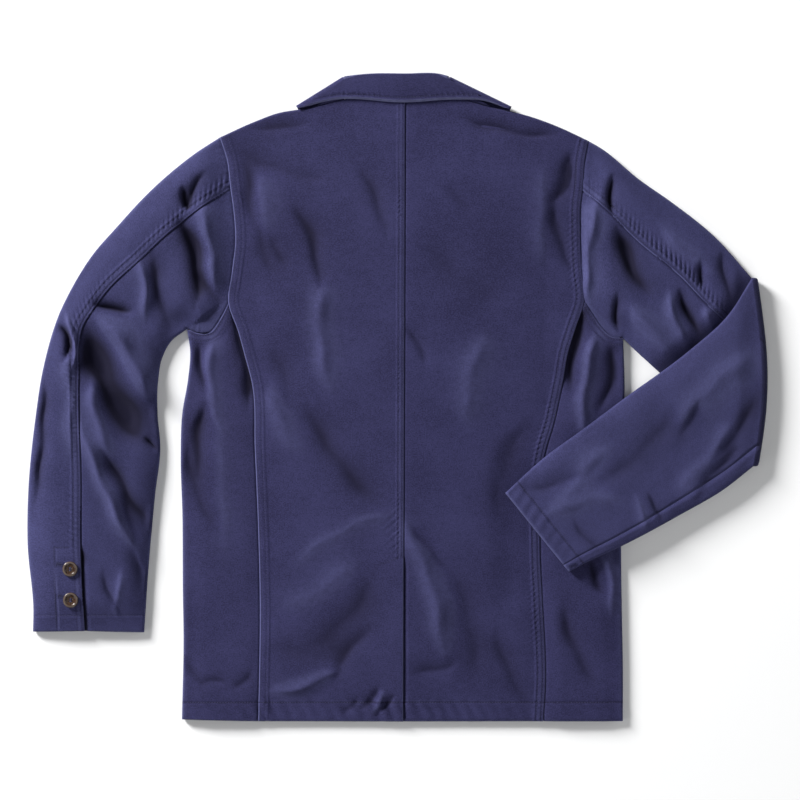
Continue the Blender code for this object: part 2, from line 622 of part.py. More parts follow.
def buttons():
    """Two on each cuff beside the vent, and those that close the front underneath."""
    upper_side = MIDDLE + EDGE_RADIUS + CLOTH / 2
    for name, x, y in (("upper", -391.7, -205.4), ("lower", -391.0, -242.6)):
        lift = float(back_lift(np.array(x), np.array(y)))
        button("cuff_button_left_" + name, (x, y, upper_side + lift + LAYER_GAP), CUFF_BUTTON, True)
    forearm_under = FOLD_HEIGHT * 2 - MIDDLE - EDGE_RADIUS - CLOTH / 2 + FOREARM_RISE
    for name, x, y in (("upper", 210.0, -111.0), ("lower", 181.5, -134.0)):
        button("cuff_button_right_" + name, (x, y, forearm_under - LAYER_GAP), CUFF_BUTTON, False)
    for name, y in zip(("top", "middle", "bottom"), BUTTON_LINE):
        button("front_button_" + name, (CENTRE_X, y, FRONT_BUTTON[1]), FRONT_BUTTON, False)


for old in list(bpy.data.objects):
    bpy.data.objects.remove(old, do_unlink=True)
JACKET = bpy.data.collections.new("suit_jacket")
bpy.context.scene.collection.children.link(JACKET)

left_back()
right_back()
for jacket_side in ("left", "right"):
    side_panel(jacket_side)
    front_panel(jacket_side)
    lapel(jacket_side)
collar_stand()
collar_fall()
left_sleeve()
right_sleeve()
buttons()
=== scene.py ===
import math
from functools import partial

import bpy
import numpy as np
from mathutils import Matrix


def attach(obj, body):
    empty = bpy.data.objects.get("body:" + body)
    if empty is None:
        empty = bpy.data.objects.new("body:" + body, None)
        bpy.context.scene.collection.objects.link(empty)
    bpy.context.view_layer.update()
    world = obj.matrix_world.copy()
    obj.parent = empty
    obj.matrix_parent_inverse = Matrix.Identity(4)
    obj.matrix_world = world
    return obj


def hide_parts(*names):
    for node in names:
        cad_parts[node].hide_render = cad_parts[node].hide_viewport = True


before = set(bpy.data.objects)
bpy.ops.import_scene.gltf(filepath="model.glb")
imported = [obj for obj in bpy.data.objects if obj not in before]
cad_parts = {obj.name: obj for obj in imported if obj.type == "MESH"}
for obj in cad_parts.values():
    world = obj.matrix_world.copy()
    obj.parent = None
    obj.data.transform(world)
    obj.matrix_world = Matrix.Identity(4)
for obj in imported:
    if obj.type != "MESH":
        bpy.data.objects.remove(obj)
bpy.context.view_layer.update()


# ---------------------------------------------------------------------------------------
# Table, light and camera. The jacket lies on a plain pale table under a large soft light from
# the upper left, and is seen straight from above through a long lens.
TABLE_COLOUR = (0.90, 0.90, 0.90, 1.0)
TABLE_SIZE = 6.0
TABLE_TOP = -0.0003
VIEW_CENTRE = (0.0031, -0.0030, 0.008)
VIEW_WIDTH = 0.960
CAMERA_DISTANCE = 3.0
SENSOR_WIDTH = 36.0

SKY_COLOUR = (0.93, 0.96, 1.0, 1.0)
SKY_STRENGTH = 0.12
LIGHTS = {                  # place and size in metres, power in watts
    "window_light": ((-4.3, 3.7, 2.1), 1.8, 930.0),
    "overhead_light": ((0.4, -0.5, 3.2), 2.4, 12.0),
    "right_reflector": ((4.6, 1.2, 1.3), 2.4, 60.0),
    "near_reflector": ((0.8, -4.6, 1.3), 2.4, 60.0),
    "left_reflector": ((-4.0, -2.4, 1.3), 2.4, 60.0),
}


def placed(name, data):
    """A new object that holds data, linked into the scene."""
    made = bpy.data.objects.new(name, data)
    bpy.context.scene.collection.objects.link(made)
    return made


def mesh_object(name, points, faces, material):
    """A smooth mesh of points in metres, as a named object."""
    mesh = bpy.data.meshes.new(name)
    mesh.from_pydata(np.asarray(points).tolist(), [], faces)
    mesh.shade_smooth()
    mesh.materials.append(material)
    return placed(name, mesh)


def finish(name, settings):
    """A new material, its node tree and its shader, with the given values at the inputs."""
    made = bpy.data.materials.new(name)
    made.use_nodes = True
    shader = made.node_tree.nodes["Principled BSDF"]
    for socket, value in settings.items():
        shader.inputs[socket].default_value = value
    return made, made.node_tree, shader


half = TABLE_SIZE / 2
matt = finish("matt_table", {"Base Color": TABLE_COLOUR, "Roughness": 0.9,
                             "Specular IOR Level": 0.1})[0]
table = mesh_object("table", [(x, y, TABLE_TOP) for x, y in
                              ((-half, -half), (half, -half), (half, half), (-half, half))],
                    [(0, 1, 2, 3)], matt)

world = bpy.data.worlds.new("studio")
world.use_nodes = True
world.node_tree.nodes["Background"].inputs["Color"].default_value = SKY_COLOUR
world.node_tree.nodes["Background"].inputs["Strength"].default_value = SKY_STRENGTH
bpy.context.scene.world = world
bpy.context.scene.view_settings.view_transform = "Standard"

# each light is a square area lamp that looks at the jacket's middle
for name, (place, size, power) in LIGHTS.items():
    lamp = bpy.data.lights.new(name, "AREA")
    lamp.shape = "SQUARE"
    lamp.size = size
    lamp.energy = power
    holder = placed(name, lamp)
    holder.location = place
    reach = math.hypot(place[0], place[1])
    holder.rotation_euler = (0.0, math.atan2(reach, place[2]), math.atan2(place[1], place[0]))

lens = bpy.data.cameras.new("camera")
lens.sensor_width = SENSOR_WIDTH
lens.lens = SENSOR_WIDTH * CAMERA_DISTANCE / VIEW_WIDTH
camera = placed("camera", lens)
camera.location = (VIEW_CENTRE[0], VIEW_CENTRE[1], VIEW_CENTRE[2] + CAMERA_DISTANCE)
bpy.context.scene.camera = camera


# ---------------------------------------------------------------------------------------
# Back, left half. Garment-dyed cotton twill, cut from the centre seam to the side-back seam
# and armhole. Its seam allowances are felled: a raised band with two rows of stitches.
MM = 0.001
CLOTH = 1.0                 # thickness of one wall of cloth, in mm
MIDDLE = 3.4                # height of the middle between the upward cloth and the underside
EDGE_RADIUS = 2.6
LAYER = 1.9                 # from one layer of cloth to the next that lies on it
BAND_WIDTH = 11.6
BAND_LIFT = 0.7
STITCH_ROWS = (2.5, 8.6)
HEM_DEPTH = 22.5
HEM_Y = -388.5
VENT_TOP = -192.0
SHOULDER_ANGLES = np.radians(np.array([90, 74, 58, 44, 32, 22, 12]))
GROOVE = 0.8                # half width of the groove that a row of stitches presses in
FULL_HEIGHT = MIDDLE + EDGE_RADIUS

ARMHOLE = {
    "left": ((-213.1, 312.1), (-205.1, 287.4), (-200.3, 251.4), (-196.2, 221),
             (-194.3, 190), (-198.5, 150.6), (-202.7, 113.4), (-211.7, 95.4),
             (-225, 78), (-239.9, 77), (-252.5, 83)),
    "right": ((228.7, 308.2), (225.1, 289.8), (221.9, 249.4), (219.5, 231),
              (219.4, 198.6), (221.2, 153.8), (223.9, 115.8), (232.3, 102.6),
              (243.7, 85.2), (256.5, 73), (270.7, 72)),
}
SHOULDER = {
    "left": ((-97, 349), (-119, 345.5), (-140.9, 341.9), (-171.4, 331),
             (-213.1, 312.1)),
    "right": ((113, 348), (135.5, 343.6), (165, 335.4), (195, 324), (228.7, 308.2)),
}
NECKLINE = {
    "left": ((9, 363), (-48, 361), (-97, 349)),
    "right": ((9, 363), (64, 361), (113, 348)),
}
BACK_SEAM = {
    "left": ((-166.8, HEM_Y), (-164.9, -243), (-167.3, -147), (-170.9, -63),
             (-175.3, 21), (-181.7, 45), (-191.3, 79.8), (-202.7, 113.4)),
    "right": ((174.7, HEM_Y), (177.1, -343.8), (173.5, -243), (171.1, -184.9),
              (179.5, -57), (186.2, -35.4), (192.7, -7.8), (198.7, 21),
              (204.7, 54.6), (214, 84.6), (223.9, 115.8)),
}
CENTRE_SEAM = ((6.7, -390.0), (7.2, VENT_TOP), (9.0, 363.0))

# Creases of the body's upward cloth, in mm: x and y of the start, x and y of the end, how far
# the middle bends sideways, half widths on either side, and the height (+) or depth (-).
CREASE_DEPTH = 2.3
CREST = 0.4
BODY_CREASES = (
    (-180, 282, -174, 214, 2, 7, 11, -2.4), (-163, 268, -158, 190, -3, 16, 18, 1.2),
    (-150, 190, -136, 158, 0, 7, 10, -1.2), (-166, 205, -150, 150, 3, 8, 14, -1.5),
    (-118, 222, -94, 132, -6, 7, 15, -2.8), (-92, 142, -84, 20, 4, 13, 16, 2.2),
    (-42, 272, -14, 200, -3, 8, 15, -1.7), (-168, 324, -112, 330, 3, 5, 9, -1.8),
    (-190, 296, -90, 262, 5, 12, 16, -1.2), (88, 332, 182, 314, 4, 6, 11, -1.8),
    (208, 288, 188, 236, -4, 9, 14, -2.6), (188, 232, 210, 156, 5, 9, 14, -2),
    (176, 270, 172, 170, 0, 15, 12, 0.8), (60, 250, 92, 226, 2, 7, 11, -0.8),
    (14, 82, 34, 40, -2, 6, 11, -1.1), (-104, -22, -28, -124, 6, 13, 20, -2.2),
    (-150, 10, -122, -60, 5, 14, 20, 1.5), (-118, -194, -12, -138, -6, 14, 9, 0.9),
    (-30, -222, -98, -296, -8, 20, 28, -1.7), (-52, -198, -130, -250, -5, 20, 22, 0.9),
    (-146, -354, -72, -326, 5, 9, 12, 2), (-148, -300, -70, -308, 4, 22, 24, -0.9),
    (-74, -334, -34, -278, -4, 11, 15, -1.9), (-40, -374, -24, -350, 2, 5, 6, -1.8),
    (-30, -378, -16, -354, 1, 4, 5, 1.2), (-20, -378, -6, -358, 1, 4, 5, -1.6),
    (-64, -380, -48, -362, 1, 4, 6, -1), (20, -158, 64, -206, 3, 7, 12, -1.8),
    (13, -160, 54, -300, -8, 12, 26, 2.4), (70, -210, 96, -330, -5, 20, 30, -1.3),
    (22, -330, 70, -318, 4, 10, 14, -1.1), (240, 276, 262, 250, 2, 8, 8, -1),
    (104, 70, 84, -20, 6, 18, 22, 1.4), (150, -40, 120, -130, 5, 16, 20, -1.3),
    (-150, 60, -128, -10, -4, 15, 20, -1.1), (120, -290, 158, -368, 4, 10, 16, -1.3),
    (40, 180, 120, 120, 8, 24, 30, -0.9),
)


def eased(value, start, end):
    """0 before start, 1 after end, with an S-curve between them: 3t^2 - 2t^3."""
    t = np.clip((value - start) / (end - start), 0, 1)
    return t * t * (3 - 2 * t)


def bell(gap, width):
    """Bell curve across a line: exp(-(gap/width)^2), 1 on it and 0 from about twice the width."""
    return np.exp(-((gap / width) ** 2))


def smooth(knots, values, at):
    """Cubic Hermite spans through values at knots, each with its neighbours' mean slope."""
    knots, values = np.asarray(knots, float), np.asarray(values, float)
    slope = np.gradient(values, knots, axis=0)
    i = np.clip(np.searchsorted(knots, at, "right") - 1, 0, len(knots) - 2)
    step = knots[i + 1] - knots[i]
    s = np.clip((at - knots[i]) / step, 0, 1)
    if values.ndim > 1:
        s, step = s[..., None], step[..., None]
    return ((2 * s**3 - 3 * s**2 + 1) * values[i] + (s**3 - 2 * s**2 + s) * step * slope[i]
            + (3 * s**2 - 2 * s**3) * values[i + 1] + (s**3 - s**2) * step * slope[i + 1])


def lengths(points):
    """The way along a row of points, from the first to each of them."""
    return np.concatenate([[0.0], np.cumsum(np.linalg.norm(np.diff(points, axis=0), axis=-1))])


def follow(points, at):
    """Points at the given lengths along the straight runs between points."""
    return np.stack([np.interp(at, lengths(points), column) for column in points.T], axis=-1)


def raised(plan, height):
    """Plan points with a height each."""
    return np.concatenate([plan, height[..., None]], axis=-1)


def along(rows, shares):
    """Points on a smooth line through the rows, at shares (0 to 1) of its length."""
    points = np.array(rows, float)
    reach = lengths(points)
    return smooth(reach / reach[-1], points, np.clip(np.asarray(shares, float), 0, 1))


def at_heights(rows, heights):
    """Points at the given y on a smooth line that runs up the table."""
    points = np.array(rows, float)
    return np.stack([smooth(points[:, 1], points[:, 0], heights), heights], axis=-1)


def steps(length, first, last, fine, coarse):
    """Shares of a length: fine steps over its first and last millimetres, coarse between."""
    start = np.arange(0.0, max(first, fine), fine)
    end = length - np.arange(0.0, max(last, fine), fine)[::-1]
    count = max(int(np.ceil((end[0] - start[-1]) / coarse)), 1)
    return np.concatenate([start, np.linspace(start[-1], end[0], count + 1)[1:-1], end]) / length


def unit(step):
    """Vectors of length 1 along step."""
    return step / np.maximum(np.linalg.norm(step, axis=-1, keepdims=True), 1e-9)


def across(first, last, share):
    """Rows of plan points from first to last, with one column for each share."""
    share = np.asarray(share)[None, :, None]
    return first[:, None, :] * (1 - share) + last[:, None, :] * share


def creases(x, y, rows):
    """Sum of ridges and troughs: each falls off across its bent, wavering line as
    exp(r - sqrt(r^2 + u^2)), unlike on its two sides, and at its ends as exp(-(2t - 1)^4)."""
    total = np.zeros_like(x)
    for x0, y0, x1, y1, bend, wide_a, wide_b, height in rows:
        dx, dy = x1 - x0, y1 - y0
        length = np.hypot(dx, dy)
        run = ((x - x0) * dx + (y - y0) * dy) / length**2
        off = ((x - x0) * dy - (y - y0) * dx) / length
        off -= bend * (1 - (2 * run - 1) ** 2)
        off -= 1.3 * np.sin(length * run / 9.0 + x0)
        wide = np.where(off > 0, wide_a, wide_b)
        ends = np.exp(-((2 * run - 1) / 1.05) ** 4) * (1 + 0.2 * np.sin(length * run / 13.0))
        fall = np.exp(CREST - np.sqrt(CREST**2 + (1.9 * off / wide) ** 2))
        total += CREASE_DEPTH * height * ends * fall
    return total


def uneven(x, y, size, seed):
    """Slow unevenness between -1 and 1: the mean of sine waves in turned directions."""
    total = np.zeros_like(x)
    for number in range(5):
        angle = seed * 1.7 + number * 2.4
        wave = size * (0.7 + 0.17 * number)
        phase = seed * 3.1 + number * 1.3
        bend = 0.8 * np.sin((x * np.sin(angle) - y * np.cos(angle)) / (wave * 1.9) + phase)
        total += np.sin((x * np.cos(angle) + y * np.sin(angle)) / wave + phase + bend)
    return total / 5


def from_line(x, y, line):
    """Signed distance from a line (+ on the left of its way) and the way along it, in mm."""
    line = np.asarray(line, float)
    reach = lengths(line)
    count = int(reach[-1] / 2.0) + 2
    dense = smooth(reach, line, np.linspace(0, reach[-1], count))
    way = unit(np.gradient(dense, axis=0))
    shape = np.shape(x)
    points = np.stack([np.ravel(x), np.ravel(y)], axis=1)
    nearest = np.empty(len(points), int)
    for start in range(0, len(points), 8000):
        part = points[start:start + 8000]
        gap = ((part[:, None, :] - dense[None]) ** 2).sum(-1)
        nearest[start:start + 8000] = gap.argmin(1)
    offset = points - dense[nearest]
    tangent = way[nearest]
    side = tangent[:, 0] * offset[:, 1] - tangent[:, 1] * offset[:, 0]
    run = nearest * reach[-1] / (count - 1) + (offset * tangent).sum(1)
    ends = (nearest == 0) | (nearest == count - 1)
    farthest = np.maximum(np.abs(side), np.linalg.norm(offset, axis=1))
    side = np.where(ends, np.sign(side) * farthest, side)
    return side.reshape(shape), run.reshape(shape)


def puckers(run, pitch, seed):
    """Uneven waves along a seam between -1 and 1: two sines whose phase drifts."""
    drift = 0.9 * np.sin(run / (pitch * 3.7) + seed) + 0.6 * np.sin(run / (pitch * 1.9) + 2 * seed)
    strength = 0.62 + 0.38 * np.sin(run / (pitch * 5.3) + seed * 1.7)
    return strength * np.sin(2 * np.pi * run / pitch + drift)


def felled_band(gap, run, seed, pitch=6.4, pucker=0.28):
    """Height over a felled seam; gap is the distance in from its folded edge.

    A flat band of double cloth, with a groove at each stitch row, and puckers that start at the
    outer row and die out in the cloth beside it.
    """
    band = BAND_LIFT * eased(gap, -0.3, 0.6) * (1 - eased(gap, BAND_WIDTH - 1.2, BAND_WIDTH + 1.4))
    for row in STITCH_ROWS:
        band = band - 0.48 * bell(gap - row, GROOVE)
    fades = 1.25 * eased(gap, 3.0, 8.0) * (1 - eased(gap, 9.0, 22.0))
    between_rows = bell(gap - 5.6, 2.2)
    wave = puckers(run + 0.8 * gap, pitch, seed)
    return band + pucker * fades * wave + 0.28 * between_rows * puckers(run, pitch * 0.8, seed + 1)


def tucked(gap):
    """Height of cloth that goes under its neighbour's folded edge: -exp(-(gap/width)^2)."""
    return -1.15 * bell(gap, 1.5) - 0.2 * bell(gap, 6.0)


def hem_relief(rise, run, seed, twist=0.0):
    """Height over a turned-up hem: double cloth below its stitches, and slanted roping."""
    level = 0.45 * (1 - eased(rise, HEM_DEPTH - 1.5, HEM_DEPTH + 0.8))
    groove = -0.45 * bell(rise - HEM_DEPTH, GROOVE)
    zone = np.exp(-(((rise - 0.62 * HEM_DEPTH) / (0.52 * HEM_DEPTH)) ** 4))
    rope = (0.55 + 1.8 * twist) * zone * puckers(run + 0.55 * rise, 17.0, seed)
    small = 0.16 * bell(rise - HEM_DEPTH, 4.5) * puckers(run, 5.6, seed + 2)
    fold = -1.3 * (1 - eased(rise, 0.0, 2.6))
    return level + groove + rope + small + fold


def body_relief(x, y):
    """Height of the body's upward cloth over its level: fullness, creases, unevenness, and
    flat where the folded forearm lies on it."""
    full = np.clip(1 - ((x - 4.0) / 174.0) ** 4, 0, 1)
    dome = 3.2 * full * eased(y, -385, -290) * (1 - eased(y, 230, 335))
    relief = dome + 0.85 * creases(x, y, BODY_CREASES)
    relief += 0.35 * uneven(x, y, 24.0, 1.3) + 0.14 * uneven(x, y, 9.5, 4.1)
    slope = 0.9 * (x - 110)
    under_forearm = eased(x, 105, 140) * eased(-y, 60 - slope, 100 - slope)
    under_forearm *= 1 - eased(-y, 235, 262)
    return relief * (1 - 0.8 * under_forearm) - 0.4 * under_forearm


def resting(height, lowest):
    """Height that stays above the layers below: a soft maximum, ln(1 + e^t)."""
    return lowest + 0.7 * np.logaddexp(0, (height - lowest) / 0.7)


def painted_crease_shading(x, y, rows):
    """Painted shade in the creases' troughs (negative) and painted highlight on their ridges
    (positive).
    """
    return np.clip(0.34 * creases(x, y, rows) / CREASE_DEPTH, -0.93, 0.2)


def seam_shade(gap):
    """A felled seam's dye: rubbed off its folded edge, and darker in the grooves of its stitches."""
    grooves = sum(bell(gap - row, 0.75) for row in STITCH_ROWS)
    return 0.9 * bell(gap + 0.1, 0.9) - 0.38 * grooves + 0.16 * bell(gap - 5.4, 1.6)


def outer_seam(side):
    """The side-back seam and then the armhole, from the hem up to the shoulder."""
    return BACK_SEAM[side] + ARMHOLE[side][5::-1]


NARROW = 1.3                # how many times narrower the centre seam's band is
BACK_REST = 4.3             # lowest height of the back, above the layers under it
VENT_STITCH = ((8.0, -190.0), (-22.0, -200.8))
BACK_ROWS = (-389.0, 359.0)     # y of the first and the last row
NECK_Y = 363.0
NECK_SHARE = 4 / 9              # of the top edge, from the centre seam out


def back_height(x, y, side):
    """Height of the back's cloth at plan points, with its seams and hem."""
    out = 1.0 if side == "left" else -1.0
    gap, run = from_line(x, y, outer_seam(side))
    gap = -gap * out
    centre, centre_run = from_line(x, y, CENTRE_SEAM)
    centre = centre * out
    relief = body_relief(x, y) + felled_band(gap, run, 1.0 if side == "left" else 2.3)
    twist = 0.4 * bell(gap - 8, 14.0)
    if side == "left":
        seam = felled_band(NARROW * centre, centre_run, 3.4, pitch=5.6, pucker=0.42)
        vent_top = bell(from_line(x, y, VENT_STITCH)[0], 1.0)
        gathers = bell(centre - 15.0, 9.0) * eased(y, -204, -188) * (1 - eased(y, -150, -110))
        relief += 0.5 * gathers * puckers(centre_run + 0.9 * centre, 9.0, 1.0) - 0.5 * vent_top
        below = eased(-y, -VENT_TOP - 6, -VENT_TOP + 8)
        edge = 1.2 * bell(centre, 26.0) - 0.5 * (1 - eased(centre, 0.0, 1.6))
        relief += seam * (1 - below) + edge * below
        twist += 0.7 * bell(centre - 24, 20.0)
        level = resting(FULL_HEIGHT + relief, BACK_REST)
    else:
        below = eased(-y, -VENT_TOP - 4, -VENT_TOP + 14)
        relief += tucked(np.maximum(centre, 0)) * (1 - below)
        relief -= below * LAYER * (1 - eased(centre, -1.0, 7.0))
        twist += 0.1
        level = FULL_HEIGHT + np.maximum(relief, -LAYER - 1.6)
    return level + hem_relief(y - HEM_Y, x, 5.0, twist)


def hem_shade(rise):
    """A hem's dye: rubbed off its lower edge, and darker in the groove of its stitches."""
    return 0.5 * bell(rise, 1.6) - 0.8 * bell(rise - HEM_DEPTH, 0.9)


def back_wear_and_shade(x, y, side):
    """Where dye is rubbed off (folded seam edges, the band's edge and the hem), darker along the
    stitch rows, with painted shadow where the right half goes under the left half's edge and in the
    vent's gap, and painted shade and highlight over the creases.
    """
    gap, _ = from_line(x, y, outer_seam(side))
    centre, _ = from_line(x, y, CENTRE_SEAM)
    below = 1 - eased(y, VENT_TOP - 4, VENT_TOP + 4)
    if side == "left":
        middle = seam_shade(NARROW * centre) * (1 - below) + 0.9 * bell(centre, 0.9) * below
        middle -= 0.4 * bell(from_line(x, y, VENT_STITCH)[0], 0.9)
    else:
        # painted shadow: a dark line where this half goes under the left half's folded edge, wider in
        # the vent's gap
        middle = -0.9 * bell(centre, 1.7) * below - 0.45 * bell(centre, 1.0) * (1 - below)
    rise = y - HEM_Y
    shade = seam_shade(gap) + middle + hem_shade(rise) + 0.2 * bell(rise - HEM_DEPTH - 1.8, 0.9)
    # painted shade in the creases' troughs and painted highlight on their ridges
    return shade + 0.8 * painted_crease_shading(x, y, BODY_CREASES)


# near-black that the twill darkens toward: painted shade in creases, under edges and in gaps, and
# darker stitch grooves
DEEPEST_DYE_AND_SHADE = (0.006, 0.005, 0.016, 1.0)


def new_node(tree, kind, settings):
    """A new node of a tree, with the given values at its inputs."""
    node = tree.nodes.new(kind)
    for socket, value in settings.items():
        node.inputs[socket].default_value = value
    return node


def twill_effect():
    """Node group for dyed twill: cloudy dye, yarn and twill lines; darker toward a near-black where
    its wear-and-shade input is negative, mostly painted shade, and paler where it is positive, for
    worn edges and painted highlight on ridges.
    """
    group = bpy.data.node_groups.new("dyed_twill", "ShaderNodeTree")
    for name, way, kind in (("Cloth", "INPUT", "Vector"), ("WearAndShade", "INPUT", "Float"),
                            ("Dark", "INPUT", "Color"), ("Light", "INPUT", "Color"),
                            ("WornAndHighlight", "INPUT", "Color"), ("Color", "OUTPUT", "Color"),
                            ("Roughness", "OUTPUT", "Float"), ("Height", "OUTPUT", "Float")):
        group.interface.new_socket(name, in_out=way, socket_type="NodeSocket" + kind)
    nodes, links = group.nodes, group.links
    start = nodes.new("NodeGroupInput").outputs
    end = nodes.new("NodeGroupOutput").inputs

    def noise(scale, detail, rough):
        node = new_node(group, "ShaderNodeTexNoise",
                        {"Scale": scale, "Detail": detail, "Roughness": rough})
        links.new(start["Cloth"], node.inputs["Vector"])
        return node.outputs["Fac"]

    def combined(operation, *values):
        node = nodes.new("ShaderNodeMath")
        node.operation = operation
        for slot, value in zip(node.inputs, values):
            if isinstance(value, float):
                slot.default_value = value
            else:
                links.new(value, slot)
        return node.outputs["Value"]

    plus, minus = partial(combined, "ADD"), partial(combined, "SUBTRACT")
    times = partial(combined, "MULTIPLY")

    def mixed(factor, first, second):
        node = nodes.new("ShaderNodeMix")
        node.data_type = "RGBA"
        for slot, value in (("Factor", factor), ("A", first), ("B", second)):
            links.new(value, node.inputs[slot])
        return node.outputs["Result"]

    cloud, mottle, yarn = noise(13.0, 3.0, 0.55), noise(150.0, 5.0, 0.65), noise(620.0, 3.0, 0.7)
    lines = new_node(group, "ShaderNodeTexWave",
                     {"Scale": 720.0, "Distortion": 1.2, "Detail": 1.0})
    lines.bands_direction = "DIAGONAL"
    links.new(start["Cloth"], lines.inputs["Vector"])
    rib = lines.outputs["Fac"]
    dye = plus(times(cloud, 0.6), times(mottle, 0.4))
    dye = plus(dye, times(minus(yarn, 0.5), 1.5))
    dye = plus(dye, times(minus(rib, 0.5), 0.18))
    dye = combined("MULTIPLY_ADD", minus(dye, 0.5), 2.0, 0.5)
    colour = mixed(dye, start["Dark"], start["Light"])
    # the near-black for painted shade
    deep = nodes.new("ShaderNodeRGB")
    deep.outputs["Color"].default_value = DEEPEST_DYE_AND_SHADE
    # how far toward the near-black: painted shade, and darker stitch grooves
    kept = combined("MAXIMUM", times(start["WearAndShade"], -1.0), 0.0)
    colour = mixed(kept, colour, deep.outputs["Color"])
    # how far toward the pale tone: worn edges, and painted highlight on ridges
    rub_and_highlight = times(start["WearAndShade"], plus(mottle, 0.35))
    rub_and_highlight = combined("MAXIMUM", combined("MINIMUM", rub_and_highlight, 1.0), 0.0)
    links.new(mixed(rub_and_highlight, colour, start["WornAndHighlight"]), end["Color"])
    links.new(plus(times(yarn, 0.16), 0.76), end["Roughness"])
    links.new(plus(plus(rib, times(yarn, 0.9)), times(mottle, 1.6)), end["Height"])
    return group


DYED_TWILL = twill_effect()
TWILL_SURFACE = {"Specular IOR Level": 0.12, "Sheen Weight": 0.04, "Sheen Roughness": 0.45,
                 "Sheen Tint": (0.72, 0.74, 1.0, 1.0)}


def twill(name, dark, light, pale):
    """A twill of three tones: deep dye, thin dye, and a pale tone for rubbed edges and painted
    highlight on ridges; it is also darkened toward a near-black for painted shade. Its weave follows
    the UVs.
    """
    made, tree, shader = finish(name, TWILL_SURFACE)
    cloth = tree.nodes.new("ShaderNodeUVMap")
    cloth.uv_map = "cloth"
    wear_and_shade = tree.nodes.new("ShaderNodeAttribute")
    wear_and_shade.attribute_name = "wear_and_shade"
    effect = tree.nodes.new("ShaderNodeGroup")
    effect.node_tree = DYED_TWILL
    for socket, colour in (("Dark", dark), ("Light", light), ("WornAndHighlight", pale)):
        effect.inputs[socket].default_value = colour + (1.0,)
    bump = new_node(tree, "ShaderNodeBump", {"Strength": 0.55, "Distance": 0.00026})
    for source, target in ((cloth.outputs["UV"], effect.inputs["Cloth"]),
                           (wear_and_shade.outputs["Fac"], effect.inputs["WearAndShade"]),
                           (effect.outputs["Color"], shader.inputs["Base Color"]),
                           (effect.outputs["Roughness"], shader.inputs["Roughness"]),
                           (effect.outputs["Height"], bump.inputs["Height"]),
                           (bump.outputs["Normal"], shader.inputs["Normal"])):
        tree.links.new(source, target)
    return made


NAVY_DARK = (0.0160, 0.0150, 0.050)
NAVY_LIGHT = (0.039, 0.038, 0.109)
# pale tone of worn edges, also used for painted highlight on crease ridges
NAVY_WORN_AND_HIGHLIGHT = (0.105, 0.110, 0.240)
BODY_TWILL = twill("body_twill", NAVY_DARK, NAVY_LIGHT, NAVY_WORN_AND_HIGHLIGHT)


def dressed(piece, wear_and_shade=None):
    """The piece rides on root; wear is a value at each of its points: paleness where worn, and
    painted shade and highlight.
    """
    if wear_and_shade is not None:
        # holds paleness where worn, and painted shade and highlight
        rubbed = piece.data.attributes.new("wear_and_shade", "FLOAT", "POINT")
        rubbed.data.foreach_set("value", wear_and_shade.astype(np.float32))
    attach(piece, "root")
    return piece


def cloth_piece(name, grid, wear_and_shade, material, left_out=None):
    """A named wall of cloth on a grid of middle points (rows, columns, xyz) in millimetres.

    wear is a value at each point: paleness where worn, and painted shade and highlight. left_out is a
    mask of the grid's cells that aren't there.
    The UVs run in metres along the cloth, across the middle row and up the middle column.
    """
    row_count, column_count = grid.shape[:2]
    number = np.arange(row_count * column_count).reshape(row_count, column_count)
    cells = np.stack([number[:-1, :-1], number[:-1, 1:], number[1:, 1:], number[1:, :-1]], axis=-1)
    kept = cells.reshape(-1, 4) if left_out is None else cells[~left_out]
    used, faces = np.unique(kept, return_inverse=True)
    u = lengths(grid[row_count // 2]) * MM
    v = lengths(grid[:, column_count // 2]) * MM
    cloth = np.stack(np.meshgrid(u, v), axis=-1).reshape(-1, 2)
    piece = mesh_object(name, grid.reshape(-1, 3)[used] * MM, faces.reshape(-1, 4).tolist(), material)
    layer = piece.data.uv_layers.new(name="cloth")
    layer.data.foreach_set("uv", cloth[kept].reshape(-1).astype(np.float32))
    wall = piece.modifiers.new("wall", "SOLIDIFY")
    wall.thickness = CLOTH * MM
    wall.offset = 0.0
    return dressed(piece, wear_and_shade=np.clip(wear_and_shade, -1, 1).reshape(-1)[used])


def offset_line(line, gap, start, end):
    """Plan points 1 mm apart on a line moved sideways by gap (+ to the left of its way), less
    a length at its start and end."""
    line = np.asarray(line, float)
    reach = lengths(line)
    dense = smooth(reach, line, np.arange(start, reach[-1] - end, 1.0))
    way = unit(np.gradient(dense, axis=0))
    return dense + gap * np.stack([-way[:, 1], way[:, 0]], axis=1)


def speckled(name, grain, stops, settings):
    """A material whose colour follows a fine noise through a ramp of two stops."""
    made, tree, shader = finish(name, settings)
    place = tree.nodes.new("ShaderNodeTexCoord")
    speckle = new_node(tree, "ShaderNodeTexNoise", grain)
    ramp = tree.nodes.new("ShaderNodeValToRGB")
    for stop, (position, colour) in zip(ramp.color_ramp.elements, stops):
        stop.position = position
        stop.color = colour
    tree.links.new(place.outputs["Object"], speckle.inputs["Vector"])
    tree.links.new(speckle.outputs["Fac"], ramp.inputs["Fac"])
    tree.links.new(ramp.outputs["Color"], shader.inputs["Base Color"])
    return made, tree, shader, ramp


STITCH_LENGTH = 2.5
THREAD_RADIUS = 0.34
THREAD_LIFT = CLOTH / 2 + 0.12
THREAD_DARK = (0.022, 0.022, 0.062, 1.0)
THREAD_PALE = (0.060, 0.062, 0.140, 1.0)
THREAD = speckled("dyed_thread", {"Scale": 260.0}, ((0.0, THREAD_DARK), (1.0, THREAD_PALE)),
                  {"Roughness": 0.75, "Specular IOR Level": 0.25})[0]


def tube_points(rings, count):
    """Numbers of a tube's points, ring by ring, and of their neighbours round each ring."""
    a = np.arange(rings - 1)[:, None] * count + np.arange(count)[None]
    b = np.arange(rings - 1)[:, None] * count + (np.arange(count)[None] + 1) % count
    return a, b


